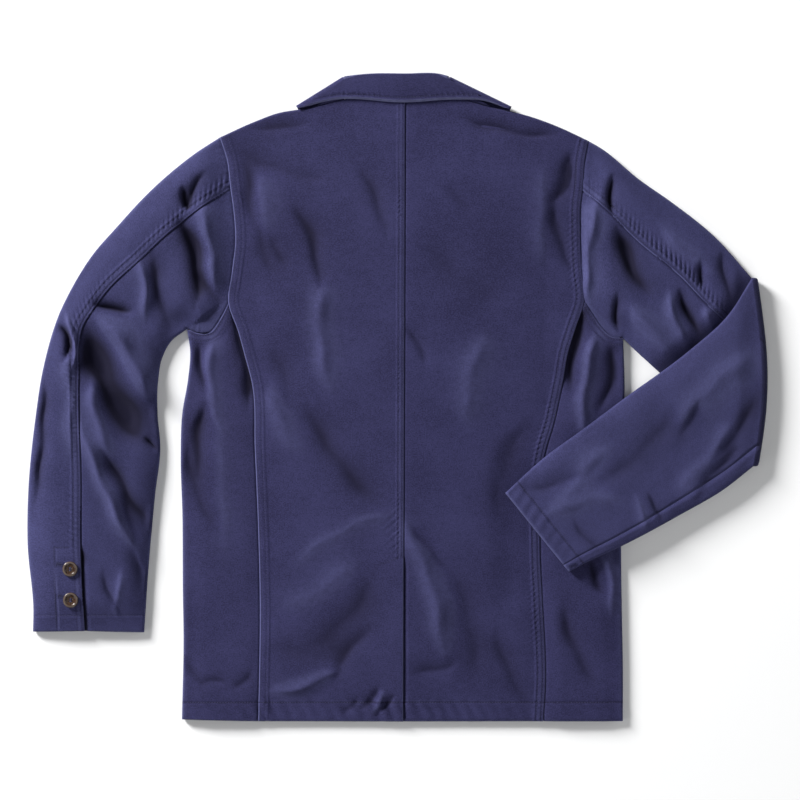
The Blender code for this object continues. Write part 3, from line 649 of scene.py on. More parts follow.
def stitches(name, rows, pitch=3.3):
    """Joined stitches of one seam: each row is an array of xyz points that the thread follows.

    A stitch is a bent bead of four rings of four points: its width swells as a half sine and
    its ends dip into the cloth as the square of the way from its middle.
    """
    centres, ways = [], []
    for row in rows:
        at = np.arange(pitch, lengths(row)[-1], pitch)
        centres.append(follow(row, at))
        ways.append(unit(centres[-1] - follow(row, at - 1.2)))
    centre, way = np.concatenate(centres)[:, None, None], np.concatenate(ways)
    up = np.array([0.0, 0.0, 1.0])
    side = unit(np.cross(up, way))[:, None, None]
    way = way[:, None, None]
    share = np.array([-1.0, -0.45, 0.45, 1.0])[:, None]
    angle = np.radians(np.array([45.0, 135.0, 225.0, 315.0]))
    swell = THREAD_RADIUS * np.array([0.45, 1.0, 1.0, 0.45])[:, None]
    forward = (share * STITCH_LENGTH / 2)[None, ..., None]
    sideways = (swell * np.cos(angle))[None, ..., None]
    upward = (swell * 0.8 * np.sin(angle) - 0.35 * share**2)[None, ..., None]
    points = centre + forward * way + sideways * side + upward * up
    a, b = tube_points(4, 4)
    faces = np.stack([a, a + 4, b + 4, b], axis=-1).reshape(-1, 4)
    faces = np.concatenate([faces, [[0, 1, 2, 3], [15, 14, 13, 12]]])
    faces = (faces[None] + 16 * np.arange(len(centre))[:, None, None]).reshape(-1, 4)
    dressed(mesh_object(name, points.reshape(-1, 3) * MM, faces.tolist(), THREAD))


def on_cloth(plan, height, lift=THREAD_LIFT):
    """Plan points raised to lie on the cloth whose middle height is a function of x and y."""
    return raised(plan, height(plan[:, 0], plan[:, 1]) + lift)


def rounded_shoulder(plan, top, shoulder_share):
    """Adds the rows that carry the cloth over the shoulder edge, and the sine of each row's
    angle: 1 on the flat, sin(angle) on the edge, and 1 along the neckline."""
    inward = unit(plan[-1] - top)
    edge = [top + inward * EDGE_RADIUS * (1 - np.cos(angle)) for angle in SHOULDER_ANGLES]
    rows = np.concatenate([plan, np.stack(edge)])
    sines = np.ones(rows.shape[:2])
    sines[len(plan):] = 1 - shoulder_share * (1 - np.sin(SHOULDER_ANGLES))[:, None]
    return rows, sines


def back_plan(side):
    """Plan grid of half a back: rows from hem to shoulder, columns from the centre seam out."""
    rows_up = np.interp(steps(752.0, 26.0, 0.0, 1.3, 1.9), [0, 1], BACK_ROWS)
    shares = steps(190.0, 14.0, 19.0, 1.0, 2.8)
    inner = at_heights(CENTRE_SEAM, rows_up)
    outer_up = np.interp(rows_up, [BACK_ROWS[0], 130.0, NECK_Y],
                         [HEM_Y, BACK_SEAM[side][-1][1], SHOULDER[side][-1][1]])
    outer = at_heights(outer_seam(side), outer_up)
    neck = along(NECKLINE[side], np.minimum(shares / NECK_SHARE, 1))
    shoulder = along(SHOULDER[side], np.maximum((shares - NECK_SHARE) / (1 - NECK_SHARE), 0))
    top = np.where((shares < NECK_SHARE)[:, None], neck, shoulder)
    straight_top = across(top[:1], top[-1:], shares)[0]
    plan = across(inner, outer, shares)
    fade = np.clip((rows_up - 95.0) / (NECK_Y - 95.0), 0, 1) ** 2
    plan += fade[:, None, None] * (top - straight_top)
    return rounded_shoulder(plan, top, eased(shares, NECK_SHARE, NECK_SHARE + 0.03))


def with_height(plan, sines, height):
    """Grid of points: the middle height, plus the sine of the edge's angle times the rest."""
    return raised(plan, MIDDLE + sines * (height - MIDDLE))


def half_back(side, plan, sines, left_out=None):
    """The cloth of one half of the back, which replaces its CAD piece."""
    x, y = plan[..., 0], plan[..., 1]
    grid = with_height(plan, sines, back_height(x, y, side))
    piece = cloth_piece("back_%s_cloth" % side, grid, back_wear_and_shade(x, y, side), BODY_TWILL, left_out)
    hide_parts("back_" + side)
    return piece


def seam_rows(line, side, height, start, end):
    """The stitch rows of a felled seam, inside its folded edge, laid on the cloth."""
    out = -1.0 if side == "left" else 1.0
    return [on_cloth(offset_line(line, gap * out, start, end), height) for gap in STITCH_ROWS]


def hem_row(first, last):
    """Plan points 1 mm apart along the hem's stitches."""
    at = np.arange(first, last)
    return np.stack([at, np.full(len(at), HEM_Y + HEM_DEPTH)], axis=1)


back_left = half_back("left", *back_plan("left"))
left_height = partial(back_height, side="left")
vent_row = np.stack([np.linspace(6.0, -21.0, 28), np.linspace(-190.2, -200.0, 28)], axis=1)
centre_rows = [offset_line(((9.0, 350.0), (7.2, VENT_TOP)), -gap / NARROW, 0.0, 1.0)
               for gap in STITCH_ROWS]
stitches("back_left_stitches",
         seam_rows(outer_seam("left"), "left", left_height, 3.0, 5.0)
         + [on_cloth(row, left_height) for row in centre_rows + [vent_row, hem_row(-164.0, 5.0)]])


# ---------------------------------------------------------------------------------------
# Back, right half. The mirror of the left half, but its centre edge goes on under the left
# half at the vent, as a strip 36 mm wide that is turned in and hangs free.
VENT_UNDERLAP = 36.0
right_plan, right_sines = back_plan("right")
vent_rows = right_plan[:, 0, 1] < VENT_TOP
strip_shares = np.linspace(1.0, 0.04, 12)
strip = right_plan[:, :1] - np.stack([VENT_UNDERLAP * strip_shares,
                                      np.zeros_like(strip_shares)], axis=-1)[None]
right_plan = np.concatenate([strip, right_plan], axis=1)
right_sines = np.concatenate([np.ones(strip.shape[:2]), right_sines], axis=1)
no_strip = np.zeros((right_plan.shape[0] - 1, right_plan.shape[1] - 1), bool)
no_strip[:, :len(strip_shares) - 1] = ~vent_rows[1:, None]
back_right = half_back("right", right_plan, right_sines, no_strip)
right_height = partial(back_height, side="right")
stitches("back_right_stitches",
         seam_rows(outer_seam("right"), "right", right_height, 3.0, 5.0)
         + [on_cloth(hem_row(10.0, 172.0), right_height)])


# ---------------------------------------------------------------------------------------
# Side panels. A long strip of the same twill under each arm, from the side-back seam, where it
# goes under the back's folded edge, round the side to the front seam underneath.
SIDE_EDGE = {
    "left": ((-258.5, HEM_Y + 2), (-256.5, -291), (-257.3, -237), (-258, -138.6),
             (-259.9, -75), (-258, -18.6), (-251.3, 21), (-248.6, 56), (-252.5, 83)),
    "right": ((270.4, HEM_Y), (270.4, -318.6), (269.2, -255), (268.3, -177),
              (270, -60), (272.5, 21), (270.7, 72)),
}
FRONT_SEAM = {
    "left": ((-197, HEM_Y), (-197, -147), (-199, 21), (-202.7, 113.4)),
    "right": ((209, HEM_Y), (209, -147), (214, 21), (223.9, 115.8)),
}
EDGE_ANGLES = np.radians(np.linspace(90, -90, 9))
SIDE_REST = 2.6
SIDE_CREASES = (
    (-198, 104, -178, 2, -5, 8, 12, -3.6), (-222, 70, -214, -30, 6, 10, 11, 1.8),
    (-240, 62, -232, 10, 0, 7, 7, -2.2), (-234, -14, -238, -90, 5, 7, 14, -2.6),
    (-252, -60, -222, -150, 6, 10, 14, -1.6), (-214, -40, -206, -180, 0, 18, 14, 0.6),
    (-256, -310, -232, -346, 3, 7, 10, -0.9), (-234, -346, -206, -340, -3, 6, 9, -0.9),
    (-196, -350, -176, -330, 2, 8, 9, -0.9), (226, 106, 208, 20, 4, 11, 9, -3.8),
    (238, 74, 222, -30, 4, 9, 12, 2.6), (258, 60, 246, -10, -5, 8, 9, -2.4),
    (230, -196, 246, -234, 3, 5, 9, -1.9), (244, -170, 258, -250, -4, 6, 9, 1.8),
    (200, -258, 236, -340, 5, 10, 15, -1.6),
)


def side_height(x, y, side):
    """Height of the side panel's upward cloth: tucked under the back, fuller in its middle."""
    out = 1.0 if side == "left" else -1.0
    gap, run = from_line(x, y, BACK_SEAM[side])
    gap = np.maximum(gap * out, 0)
    edge, _ = from_line(x, y, SIDE_EDGE[side])
    edge = np.maximum(-edge * out, 0)
    arm, arm_run = from_line(x, y, ARMHOLE[side][6:])
    arm = np.abs(arm)
    relief = body_relief(x, y) + creases(x, y, SIDE_CREASES)
    relief = relief * eased(edge, 0.0, 9.0) * eased(arm, 2.0, 24.0)
    relief += 2.1 * eased(edge, 0.0, 30.0) * eased(gap, -6.0, 22.0) * eased(arm, 6.0, 30.0)
    relief += tucked(gap) + 0.15 * (1 - eased(gap, 2, 9)) * puckers(run, 7.0, 1.0)
    relief += 0.8 * felled_band(arm, arm_run, 2.0, pucker=0.2) * eased(edge, 0.0, 5.0)
    level = resting(FULL_HEIGHT + relief, SIDE_REST)
    return level + hem_relief(y - HEM_Y, x, 5.0, 0.35 * bell(gap - 4, 12.0))


def side_plan(side):
    """Plan grid of a side panel: rows from hem to armhole; columns over the top, round the edge
    and back underneath."""
    up = steps(500.0, 26.0, 12.0, 1.3, 2.0)
    seam_up = HEM_Y + up * (BACK_SEAM[side][-1][1] - HEM_Y)
    edge_up = SIDE_EDGE[side][0][1] + up * (SIDE_EDGE[side][-1][1] - SIDE_EDGE[side][0][1])
    seam = at_heights(BACK_SEAM[side], seam_up)
    front = at_heights(FRONT_SEAM[side], seam_up)
    edge = at_heights(SIDE_EDGE[side], edge_up)
    shares = np.concatenate([[-0.02], steps(80.0, 9.0, 0.0, 1.2, 2.6) * 0.93])
    under_shares = np.linspace(0.0, 0.9, 7)
    fade = np.clip((seam_up - 40.0) / (BACK_SEAM[side][-1][1] - 40.0), 0, 1)[:, None, None] ** 3
    arm = np.array(ARMHOLE[side][6:], float)

    def sheet_plan(line, share):
        plan = across(line, edge, share)
        top = smooth(np.arange(5.0), arm, np.maximum(share, 0) * 4)
        return plan + fade * (top - plan[-1])

    upper, under = sheet_plan(seam, shares), sheet_plan(front, under_shares)
    inward = np.tile([1.0 if side == "left" else -1.0, 0.0], (len(up), 1))
    turn = eased(seam_up, 60.0, BACK_SEAM[side][-1][1])[:, None]
    inward = unit(inward * (1 - 0.7 * turn) - turn * np.array([0.0, 0.958]))
    rim = edge + fade[:, 0] * (arm[-1] - edge[-1])
    rounding = np.stack([rim + inward * EDGE_RADIUS * (1 - np.cos(a)) for a in EDGE_ANGLES], axis=1)
    plan = np.concatenate([upper, rounding, under[:, ::-1]], axis=1)
    sines = np.concatenate([np.ones(len(shares)), np.sin(EDGE_ANGLES), -np.ones(len(under_shares))])
    return plan, np.tile(sines, (len(up), 1))


def two_sided(plan, sines, height):
    """Heights for cloth that goes round an edge: the given height above, a flat layer below."""
    return raised(plan, MIDDLE + sines * np.where(sines >= 0, height - MIDDLE, EDGE_RADIUS))


for side in ("left", "right"):
    plan, sines = side_plan(side)
    x, y = plan[..., 0], plan[..., 1]
    gap, arm_gap, under = [from_line(x, y, line)[0] for line in
                           (SIDE_EDGE[side], ARMHOLE[side][6:], BACK_SEAM[side])]
    wear_and_shade = 0.3 * bell(gap, 3.0) + hem_shade(y - HEM_Y)
    # painted shade where the panel goes under the back's folded edge
    wear_and_shade += 0.8 * seam_shade(np.abs(arm_gap)) - 0.5 * bell(under, 1.2)
    # painted shade in the creases' troughs and painted highlight on their ridges
    wear_and_shade += 0.6 * painted_crease_shading(x, y, BODY_CREASES) + painted_crease_shading(x, y, SIDE_CREASES)
    piece = cloth_piece("side_panel_%s_cloth" % side,
                        two_sided(plan, sines, side_height(x, y, side)), wear_and_shade, BODY_TWILL)
    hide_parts("side_panel_" + side)
    sign = -1.0 if side == "left" else 1.0
    rows = [offset_line(ARMHOLE[side][6:], -sign * gap, 3.0, 4.0) for gap in STITCH_ROWS]
    first = 170.0 if side == "left" else 179.0
    rows.append(hem_row(first, first + 84.0) * (sign, 1.0))
    stitches("side_panel_%s_stitches" % side,
             [on_cloth(row, partial(side_height, side=side)) for row in rows])


# ---------------------------------------------------------------------------------------
# Fronts. They lie face down on the table, under the back, and the left one under the right
# where they button. Plain twill to the same hem; only their sides show past the back.
CENTRE_X = 7.0
OVERLAP = 18.0
BREAK_Y = 60.0              # where the lapels start to turn back
PRESSED = 0.8               # middle height of cloth that is pressed on the table
FRONT_EDGE = {
    "left": ((-12.0, HEM_Y + 3.0), (14.0, -368.0), (23.0, -330.0),
             (CENTRE_X + OVERLAP, VENT_TOP), (CENTRE_X + OVERLAP, BREAK_Y)),
    "right": ((26.0, HEM_Y + 3.0), (0.0, -368.0), (-9.0, -330.0),
              (CENTRE_X - OVERLAP, VENT_TOP), (CENTRE_X - OVERLAP, BREAK_Y)),
}
ROLL_LINE = {
    "left": ((CENTRE_X + OVERLAP, BREAK_Y), (-20.0, 186.0), (-65.6, 310.8)),
    "right": ((CENTRE_X - OVERLAP, BREAK_Y), (35.0, 186.0), (81.6, 310.8)),
}


def left_front_lift(x, y):
    """The left front lies on its buttons, and on its lapel and collar higher up."""
    on_buttons = (1 - eased(np.abs(x - CENTRE_X), 16, 70)) * (
        eased(y, -190, -152) * (1 - eased(y, 80, 130)))
    on_lapel = eased(x, -178, -140) * eased(y, 20, 62)
    return np.maximum(2.8 * on_buttons, LAYER * on_lapel)


def right_front_lift(x, y):
    """The right front lies on the left one at the overlap, and on its own lapel above."""
    overlap = (1 - eased(x, 34, 100)) * (1 - eased(y, 150, 200))
    on_lapel = (1 - eased(x, 158, 200)) * eased(y, 60, 100)
    under = left_front_lift(np.minimum(x, CENTRE_X + OVERLAP), y)
    return np.maximum((under + LAYER) * overlap, LAYER * on_lapel)


def front_plan(side):
    """Plan grid of a front: rows from hem to shoulder, columns from its edge to its seam."""
    lower = np.linspace(0, 1, 60)
    upper = np.linspace(0, 1, 34)[1:]
    neck = np.array(SHOULDER[side][0])
    roll = along(ROLL_LINE[side], upper)
    last = roll[-1] * 0.5 + neck * 0.5
    low_y = FRONT_EDGE[side][0][1] + lower * (BREAK_Y - FRONT_EDGE[side][0][1])
    inner = np.concatenate([at_heights(FRONT_EDGE[side], low_y), roll, last[None]])
    outer_line = FRONT_SEAM[side] + ARMHOLE[side][5::-1]
    outer_y = np.concatenate([
        HEM_Y + lower * (FRONT_SEAM[side][-1][1] - HEM_Y),
        FRONT_SEAM[side][-1][1] + np.append(upper, 1.015) / 1.03 * (
            SHOULDER[side][-1][1] - FRONT_SEAM[side][-1][1])])
    outer = at_heights(outer_line, outer_y)
    shares = np.linspace(0, 1, 26)
    top = along(SHOULDER[side], shares)
    plan = across(inner, outer, shares)
    fade = np.clip((np.arange(len(plan)) - 50) / 44.0, 0, 1) ** 2
    plan += fade[:, None, None] * (top - across(top[:1], top[-1:], shares)[0])
    return rounded_shoulder(plan, top, np.ones(len(shares)))


for side, lift in (("left", left_front_lift), ("right", right_front_lift)):
    plan, sines = front_plan(side)
    x, y = plan[..., 0], plan[..., 1]
    low = MIDDLE - EDGE_RADIUS + lift(x, y)
    grid = with_height(plan, sines, low)
    piece = cloth_piece("front_%s_cloth" % side, grid[:, ::-1],
                        0.3 * bell(y - HEM_Y, 2.0)[:, ::-1], BODY_TWILL)
    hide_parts("front_" + side)


# ---------------------------------------------------------------------------------------
# Lapels. The turned-back tops of the fronts, pressed flat on the table under them, with a
# notch below the collar's ends.
LAPEL_EDGE = {
    "left": ((23.0, BREAK_Y + 8.0), (-30.0, 128.0), (-84.0, 190.0), (-116.9, 240.7)),
    "right": ((14.0, BREAK_Y + 62.0), (50.0, 150.0), (100.0, 192.0), (132.9, 240.7)),
}
for side, start in (("left", 0.0), ("right", 0.32)):
    shares = np.linspace(0, 1, 44)
    roll = along(ROLL_LINE[side], start + (0.985 - start) * shares)
    roll[0, 1] += 4.0
    edge = along(LAPEL_EDGE[side], shares)
    plan = across(roll, edge, np.linspace(0, 1, 14))
    if side == "right":
        plan = plan[:, ::-1]
    edge_gap, _ = from_line(plan[..., 0], plan[..., 1], LAPEL_EDGE[side])
    piece = cloth_piece("lapel_%s_cloth" % side, raised(plan, np.full(plan.shape[:2], PRESSED)),
                        bell(edge_gap, 2.0), BODY_TWILL)
    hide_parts("lapel_" + side)


# ---------------------------------------------------------------------------------------
# Collar. Two thicknesses of twill: a stand sewn to the neckline, and a fall that turns down
# over it and over the back, with one row of stitches along its rubbed lower edge.
COLLAR_TURN = {"left": ((-66.0, 384.5), (-121.5, 350.0)),
               "right": ((64.0, 384.5), (137.0, 349.0))}
COLLAR_ROLL = ((-66.0, 384.5), (-34.0, 387.6), (9.0, 387.8), (52.0, 387.4), (64.0, 384.5))
COLLAR_FALL_EDGE = ((-119.5, 346.7), (-76.0, 357.5), (9.0, 354.6), (73.0, 358.0),
                    (103.0, 356.5), (135.3, 345.5))
COLLAR_GORGE = {"left": ((-64.0, 313.5), (-129.0, 284.0)),
                "right": ((80.0, 313.5), (146.0, 284.0))}
FALL_HEIGHT = FULL_HEIGHT + LAYER + 0.6     # the fall lies on the stand and the back
CORNER_SHARE = 0.13         # of the roll line, from each end to where its corner is rounded off
TURN_RADIUS = (FALL_HEIGHT - PRESSED) / 2
LIP_RADIUS = 2.2            # of the bend along the roll line
LIP_REACH = 0.9
LIP_ANGLES = np.radians(np.array([78, 60, 42, 25, 10]))
FALL_STITCH = 5.2           # from the free edge to the row of stitches
COLLAR_WORN = (0.21, 0.22, 0.40)
COLLAR_TWILL = twill("collar_twill", NAVY_DARK, NAVY_LIGHT, COLLAR_WORN)

neck = np.concatenate([along(NECKLINE["left"], np.linspace(1, 0, 30)),
                       along(NECKLINE["right"], np.linspace(0, 1, 30))[1:]])
neck[:, 1] += 1.0
roll = along(COLLAR_ROLL, np.linspace(0.03, 0.97, 59)) - (0.0, 5.5)
plan = across(neck, roll, np.linspace(0, 1, 8))
height = FULL_HEIGHT + body_relief(plan[..., 0], plan[..., 1])
stand = cloth_piece("collar_stand_cloth", raised(plan, height)[::-1], np.zeros(plan.shape[:2]),
                    COLLAR_TWILL)
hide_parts("collar_stand")

collar_shares = np.linspace(0, 1, 25)
UNDER_COLUMNS = 9


def collar_strip(top, bottom, height):
    """One column of the collar: points from its roll line to its free edge at one height."""
    plan = top[None] * (1 - collar_shares[:, None]) + bottom[None] * collar_shares[:, None]
    return raised(plan, np.full(len(collar_shares), height))


def collar_side(side):
    """Columns from a notch end along the underside and round the turned edge to the back."""
    turn, gorge = np.array(COLLAR_TURN[side]), np.array(COLLAR_GORGE[side])
    step = turn[1] - turn[0]
    inward = unit(np.array([step[1], -step[0]]))
    inward = -inward * np.sign(inward[1])
    inner = turn + inward * TURN_RADIUS
    columns = [collar_strip(*(gorge * (1 - share) + inner * share), PRESSED)
               for share in np.linspace(0, 1, UNDER_COLUMNS)]
    for angle in EDGE_ANGLES[::-1][1:]:
        shift = inward * TURN_RADIUS * (1 - np.cos(angle))
        columns.append(collar_strip(*(turn + shift), PRESSED + TURN_RADIUS * (1 + np.sin(angle))))
    return columns, inner


left_columns, left_end = collar_side("left")
right_columns, right_end = collar_side("right")
sides = len(left_columns)
inner_roll = along(COLLAR_ROLL, np.linspace(CORNER_SHARE, 1 - CORNER_SHARE, 11))
roll_points = np.concatenate([left_end[:1], inner_roll, right_end[:1]])
knots = np.linspace(0, 1, 121)[1:-1]
roll = np.stack([np.interp(knots, np.linspace(0, 1, 13), way) for way in roll_points.T], axis=1)
edge = along((left_end[1],) + COLLAR_FALL_EDGE[1:-1] + (right_end[1],), knots)
middle = [collar_strip(top, bottom, FALL_HEIGHT) for top, bottom in zip(roll, edge)]
collar = np.stack(left_columns + middle + right_columns[::-1], axis=1)
flat = np.zeros(collar.shape[1])
flat[sides:-sides] = np.sin(np.pi * knots) ** 0.5
fall_gap, fall_run = from_line(collar[..., 0], collar[..., 1], edge[::4])
fall_gap = np.abs(fall_gap)
crown = 1.1 * np.sin(np.pi * collar_shares)[:, None] ** 0.7
ridge = 0.8 * bell(fall_gap - 1.6, 1.3) - 1.6 * bell(fall_gap, 0.9)
stitch = -0.5 * bell(fall_gap - FALL_STITCH, GROOVE)
ticks = 0.9 * bell(fall_gap - 6.4, 2.6) * puckers(fall_run + 0.5 * fall_gap, 6.0, 0.4)
waves = 0.3 * uneven(collar[..., 0], collar[..., 1], 9.0, 2.2)
collar[..., 2] += flat * (crown + ridge + stitch + ticks + waves)

# lips: rows that carry the cloth on over the roll line, out to its own curve at the corners
onward = unit(collar[0] - collar[1] + (0.0, 1.0, 0.0))[:, :2]
fill = np.zeros((collar.shape[1], 2))
roll_share = np.interp(knots, (0, 1 / 12, 11 / 12, 1), (0, CORNER_SHARE, 1 - CORNER_SHARE, 1))
fill[sides:-sides] = along(COLLAR_ROLL, roll_share) - roll
side_reach = np.append(np.full(UNDER_COLUMNS, 0.2),
                       1.1 * TURN_RADIUS * (1 - np.cos(EDGE_ANGLES[::-1][1:])))
lip_reach = np.concatenate([side_reach, np.full(len(knots), LIP_REACH), side_reach[::-1]])
lip_step = fill + onward * lip_reach[:, None]
lips = [raised(collar[0, :, :2] + lip_step * np.sin(angle),
               collar[0, :, 2] - flat * LIP_RADIUS * (1 - np.cos(angle))) for angle in LIP_ANGLES]
collar = np.concatenate([np.stack(lips), collar])
fall_gap = np.concatenate([np.full((len(lips), collar.shape[1]), 30.0), fall_gap])
collar_wear = flat * (bell(fall_gap - 0.4, 1.2) - 0.45 * bell(fall_gap - FALL_STITCH, 0.9))
collar_wear[:len(lips)] += 0.3
fall = cloth_piece("collar_fall_cloth", collar[::-1], collar_wear[::-1], COLLAR_TWILL)
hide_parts("collar_fall")

# the stitches follow the surface where the grid is nearest to their distance from the edge
inside = slice(sides + 10, -sides - 10)
back_strip, strip_gap = collar[len(lips):, inside], fall_gap[len(lips):, inside]
near = np.argmin(np.abs(strip_gap - FALL_STITCH), axis=0)
thread_line = back_strip[near, np.arange(len(near))] + (0.0, 0.0, CLOTH / 2 + 0.1)
stitches("collar_stitches", [thread_line])


# ---------------------------------------------------------------------------------------
# Left sleeve. A top sleeve and an under sleeve of twill make a flattened tube. The hindarm seam
# is felled toward the top sleeve and ends in the cuff's vent; creases fan from the elbow.
CROTCH = {"left": 2 / 12, "right": 2 / 8}
OUTER = {
    "left": ((-213.1, 312.1), (-242, 293.4), (-268.1, 273.2), (-297.7, 246.6),
             (-337.7, 203.6), (-365.4, 171.8), (-389.3, 134), (-405.2, 102.1),
             (-423.1, 44.4), (-435.1, -28.8), (-443.4, -118.2), (-444, -174),
             (-437, -257.6), (-437.5, -281)),
    "right": ((228.7, 308.2), (242.8, 300.1), (290.5, 261.4), (330.4, 233.4),
              (379.9, 193.8), (425.5, 143)),
}
HINDARM = {
    "left": ((-200.3, 251.4), (-238.1, 225.5), (-277.9, 193.8), (-307.7, 165.8),
             (-347.5, 128), (-365.4, 104.2), (-377.4, 84.2), (-381.7, 64.3),
             (-382, 21), (-379.5, -98.4), (-379.3, -178), (-375.4, -280)),
    "right": ((221.9, 249.4), (250.7, 224.5), (290.5, 185.8), (340.3, 144),
              (370.1, 112.2), (391.9, 92.2), (431.5, 62)),
}
INNER = {
    "left": ((-252.5, 83), (-271.9, 68.3), (-282.8, 48.6), (-287.9, 21),
             (-288.8, -18.8), (-285.5, -58.6), (-291.8, -118.2), (-299.8, -207.8),
             (-304.8, -281.9)),
    "right": ((270.7, 72), (282.6, 60.4), (317.4, 28.4), (370, -22), (426.5, -82)),
}
SLEEVE_HEM = 20.0
TUCK = 1.6                  # how far a sleeve goes on under the body's armhole edge
ARM_FADE = {"left": 0.35, "right": 0.6}     # share of the length where the armhole's curve fades
FRONT_W = 1 + 5 / 6                         # w of the seam on the sleeve's underside
UNDER_COLUMNS_TOP = {"left": 12, "right": 44}
SLEEVE_REACHES = (34.0, 30.0)               # how far the fullness rises from the two edges
SLEEVE_REST = 2.4
CUFF_Y = -281.5
CUFF_VENT_TOP = -180.0
PLACKET_WIDTH = 32.0
BUTTONHOLES = ((-407.5, -199.5), (-405.4, -237.6))
LEFT_SLEEVE_CREASES = (
    (-371, 72, -310, -46, 8, 21, 30, -5.6), (-350, 92, -300, 6, -5, 16, 18, 4.5),
    (-366, 20, -344, -70, 4, 12, 16, 3), (-376, -40, -310, -190, 4, 9, 14, 3.2),
    (-352, -60, -300, -150, 3, 14, 12, -2.6), (-328, -110, -304, -230, 0, 12, 14, -1.5),
    (-404, 84, -396, 48, -6, 6, 9, -3.2), (-396, 96, -388, 40, -5, 4, 6, 2.4),
    (-258, 250, -250, 226, 1, 5, 9, -3.2), (-232, 268, -252, 232, 2, 7, 9, -2),
    (-256, 206, -240, 122, -6, 12, 17, -4.6), (-234, 226, -218, 130, -3, 14, 12, 2.2),
    (-238, 150, -214, 112, 1, 7, 10, -1.5), (-226, 166, -212, 140, 1, 7, 9, 0.9),
    (-306, 158, -302, 98, -3, 10, 8, 2.4), (-292, 166, -276, 92, 4, 14, 14, -2.2),
    (-362, 112, -318, 104, 3, 6, 9, -2.8), (-424, 14, -434, -120, -3, 6, 9, -2),
    (-410, 120, -360, 190, 4, 9, 12, -1.2), (-302, -50, -286, -62, 0, 4, 5, -1.8),
    (-352, -214, -330, -262, 2, 6, 8, -1.2), (-330, -210, -336, -262, 2, 6, 8, 1),
    (-398, 60, -392, -60, -4, 12, 10, 1.6),
)
SLEEVE_DARK = (0.021, 0.021, 0.064)
SLEEVE_LIGHT = (0.048, 0.048, 0.131)
SLEEVE_TWILL = twill("sleeve_twill", SLEEVE_DARK, SLEEVE_LIGHT, NAVY_WORN_AND_HIGHLIGHT)


def fullness(gaps_and_reaches):
    """1 - (1 - gap/reach)^2 from each edge, multiplied: a form that holds some air."""
    rise = 1.0
    for gap, reach in gaps_and_reaches:
        rise = rise * (1 - (1 - np.clip(gap / reach, 0, 1)) ** 2)
    return rise


def sleeve_form(x, y, seams, height, rows, edges, grain, seed):
    """Fullness and folds of a sleeve, and its seam at the armhole, which is sunk and gathered."""
    outer_gap, inner_gap, _, _, arm_gap, arm_run = seams
    form = height * fullness(zip((outer_gap, inner_gap), SLEEVE_REACHES)) * eased(arm_gap, 0.0, 38.0)
    folds = creases(x, y, rows) + 0.4 * uneven(x, y, *grain[0]) + 0.2 * uneven(x, y, *grain[1])
    for gap, width in zip((outer_gap, inner_gap, arm_gap), edges):
        folds *= eased(gap, 0.0, width)
    gathers = 0.25 * (1 - eased(arm_gap, 3.0, 12.0)) * puckers(arm_run, 8.0, seed)
    return form + folds, gathers - 0.9 * bell(arm_gap, 2.0)


def hem_level(rise):
    """The double cloth below a sleeve hem's stitches."""
    return 0.35 * (1 - eased(rise, SLEEVE_HEM - 1.5, SLEEVE_HEM + 0.8))


def placket_top(hind_gap):
    """Where the placket's upper row of stitches runs: 1 from its inner to its outer end."""
    return eased(hind_gap, 14, 15) * (1 - eased(hind_gap, PLACKET_WIDTH, PLACKET_WIDTH + 1))


def sleeve_seams(x, y, side):
    """Gaps from a sleeve's outer edge, inner edge, hindarm seam and armhole, and the ways
    along the last two. The hindarm gap is positive on the top sleeve."""
    out = 1.0 if side == "left" else -1.0
    outer_gap, _ = from_line(x, y, OUTER[side])
    inner_gap, _ = from_line(x, y, INNER[side])
    hind_gap, hind_run = from_line(x, y, HINDARM[side])
    arm_gap, arm_run = from_line(x, y, ARMHOLE[side])
    beyond = (arm_gap * out > 0) & (np.abs(arm_gap) < 4)
    arm_gap = np.where(beyond, 0, np.abs(arm_gap))
    return (np.maximum(outer_gap * out, 0), np.maximum(-inner_gap * out, 0),
            -hind_gap * out, hind_run, arm_gap, arm_run)


def hindarm_relief(gap, run, seed, arm_gap):
    """The felled hindarm seam on the top sleeve's side, gathered so that it puckers strongly;
    on the under sleeve's side the cloth tucks under it."""
    band = felled_band(gap, run, seed, pitch=7.2, pucker=0.62)
    side = np.where(gap >= 0, band, tucked(gap))
    return side * eased(arm_gap, -2.0, 3.0)


def one_half(hind_gap, kind):
    """Keeps each half of a sleeve on its own side of the hindarm seam, where one tucks under."""
    return np.maximum(hind_gap, 0) if kind == "top_sleeve" else np.minimum(hind_gap, -1e-6)


def left_sleeve_height(x, y, kind):
    """Height of the left sleeve's upward cloth."""
    seams = sleeve_seams(x, y, "left")
    hind_gap = one_half(seams[2], kind)
    form, armhole = sleeve_form(x, y, seams, 7.6, LEFT_SLEEVE_CREASES, (12.0, 10.0, 9.0),
                                ((17.0, 2.7), (7.0, 0.9)), 0.7)
    relief = form * (eased(y, -282.0, -240.0) * 0.75 + 0.25) + armhole
    below = 1 - eased(y, CUFF_VENT_TOP - 12, CUFF_VENT_TOP + 6)
    relief += hindarm_relief(hind_gap, seams[3], 4.0, seams[4]) * (1 - below)
    placket = np.where(hind_gap >= 0, 0.9 - 0.4 * (1 - eased(hind_gap, 0.0, 1.2)),
                       -3.0 * bell(hind_gap, 4.6))
    relief += below * placket * (1 - eased(hind_gap, PLACKET_WIDTH, PLACKET_WIDTH + 1.5) * 0.6)
    relief -= below * 0.75 * bell(hind_gap - PLACKET_WIDTH, 0.9)
    relief -= 0.5 * bell(y - CUFF_VENT_TOP, 0.9) * placket_top(hind_gap)
    rise = y - CUFF_Y
    relief += hem_level(rise) - 0.4 * bell(rise - SLEEVE_HEM, GROOVE)
    relief -= 1.2 * (1 - eased(rise, 0.0, 2.4))
    relief += 0.3 * (1 - eased(rise, 12.0, 26.0)) * puckers(x + 0.6 * rise, 13.0, 2.2)
    return resting(FULL_HEIGHT + relief, SLEEVE_REST)


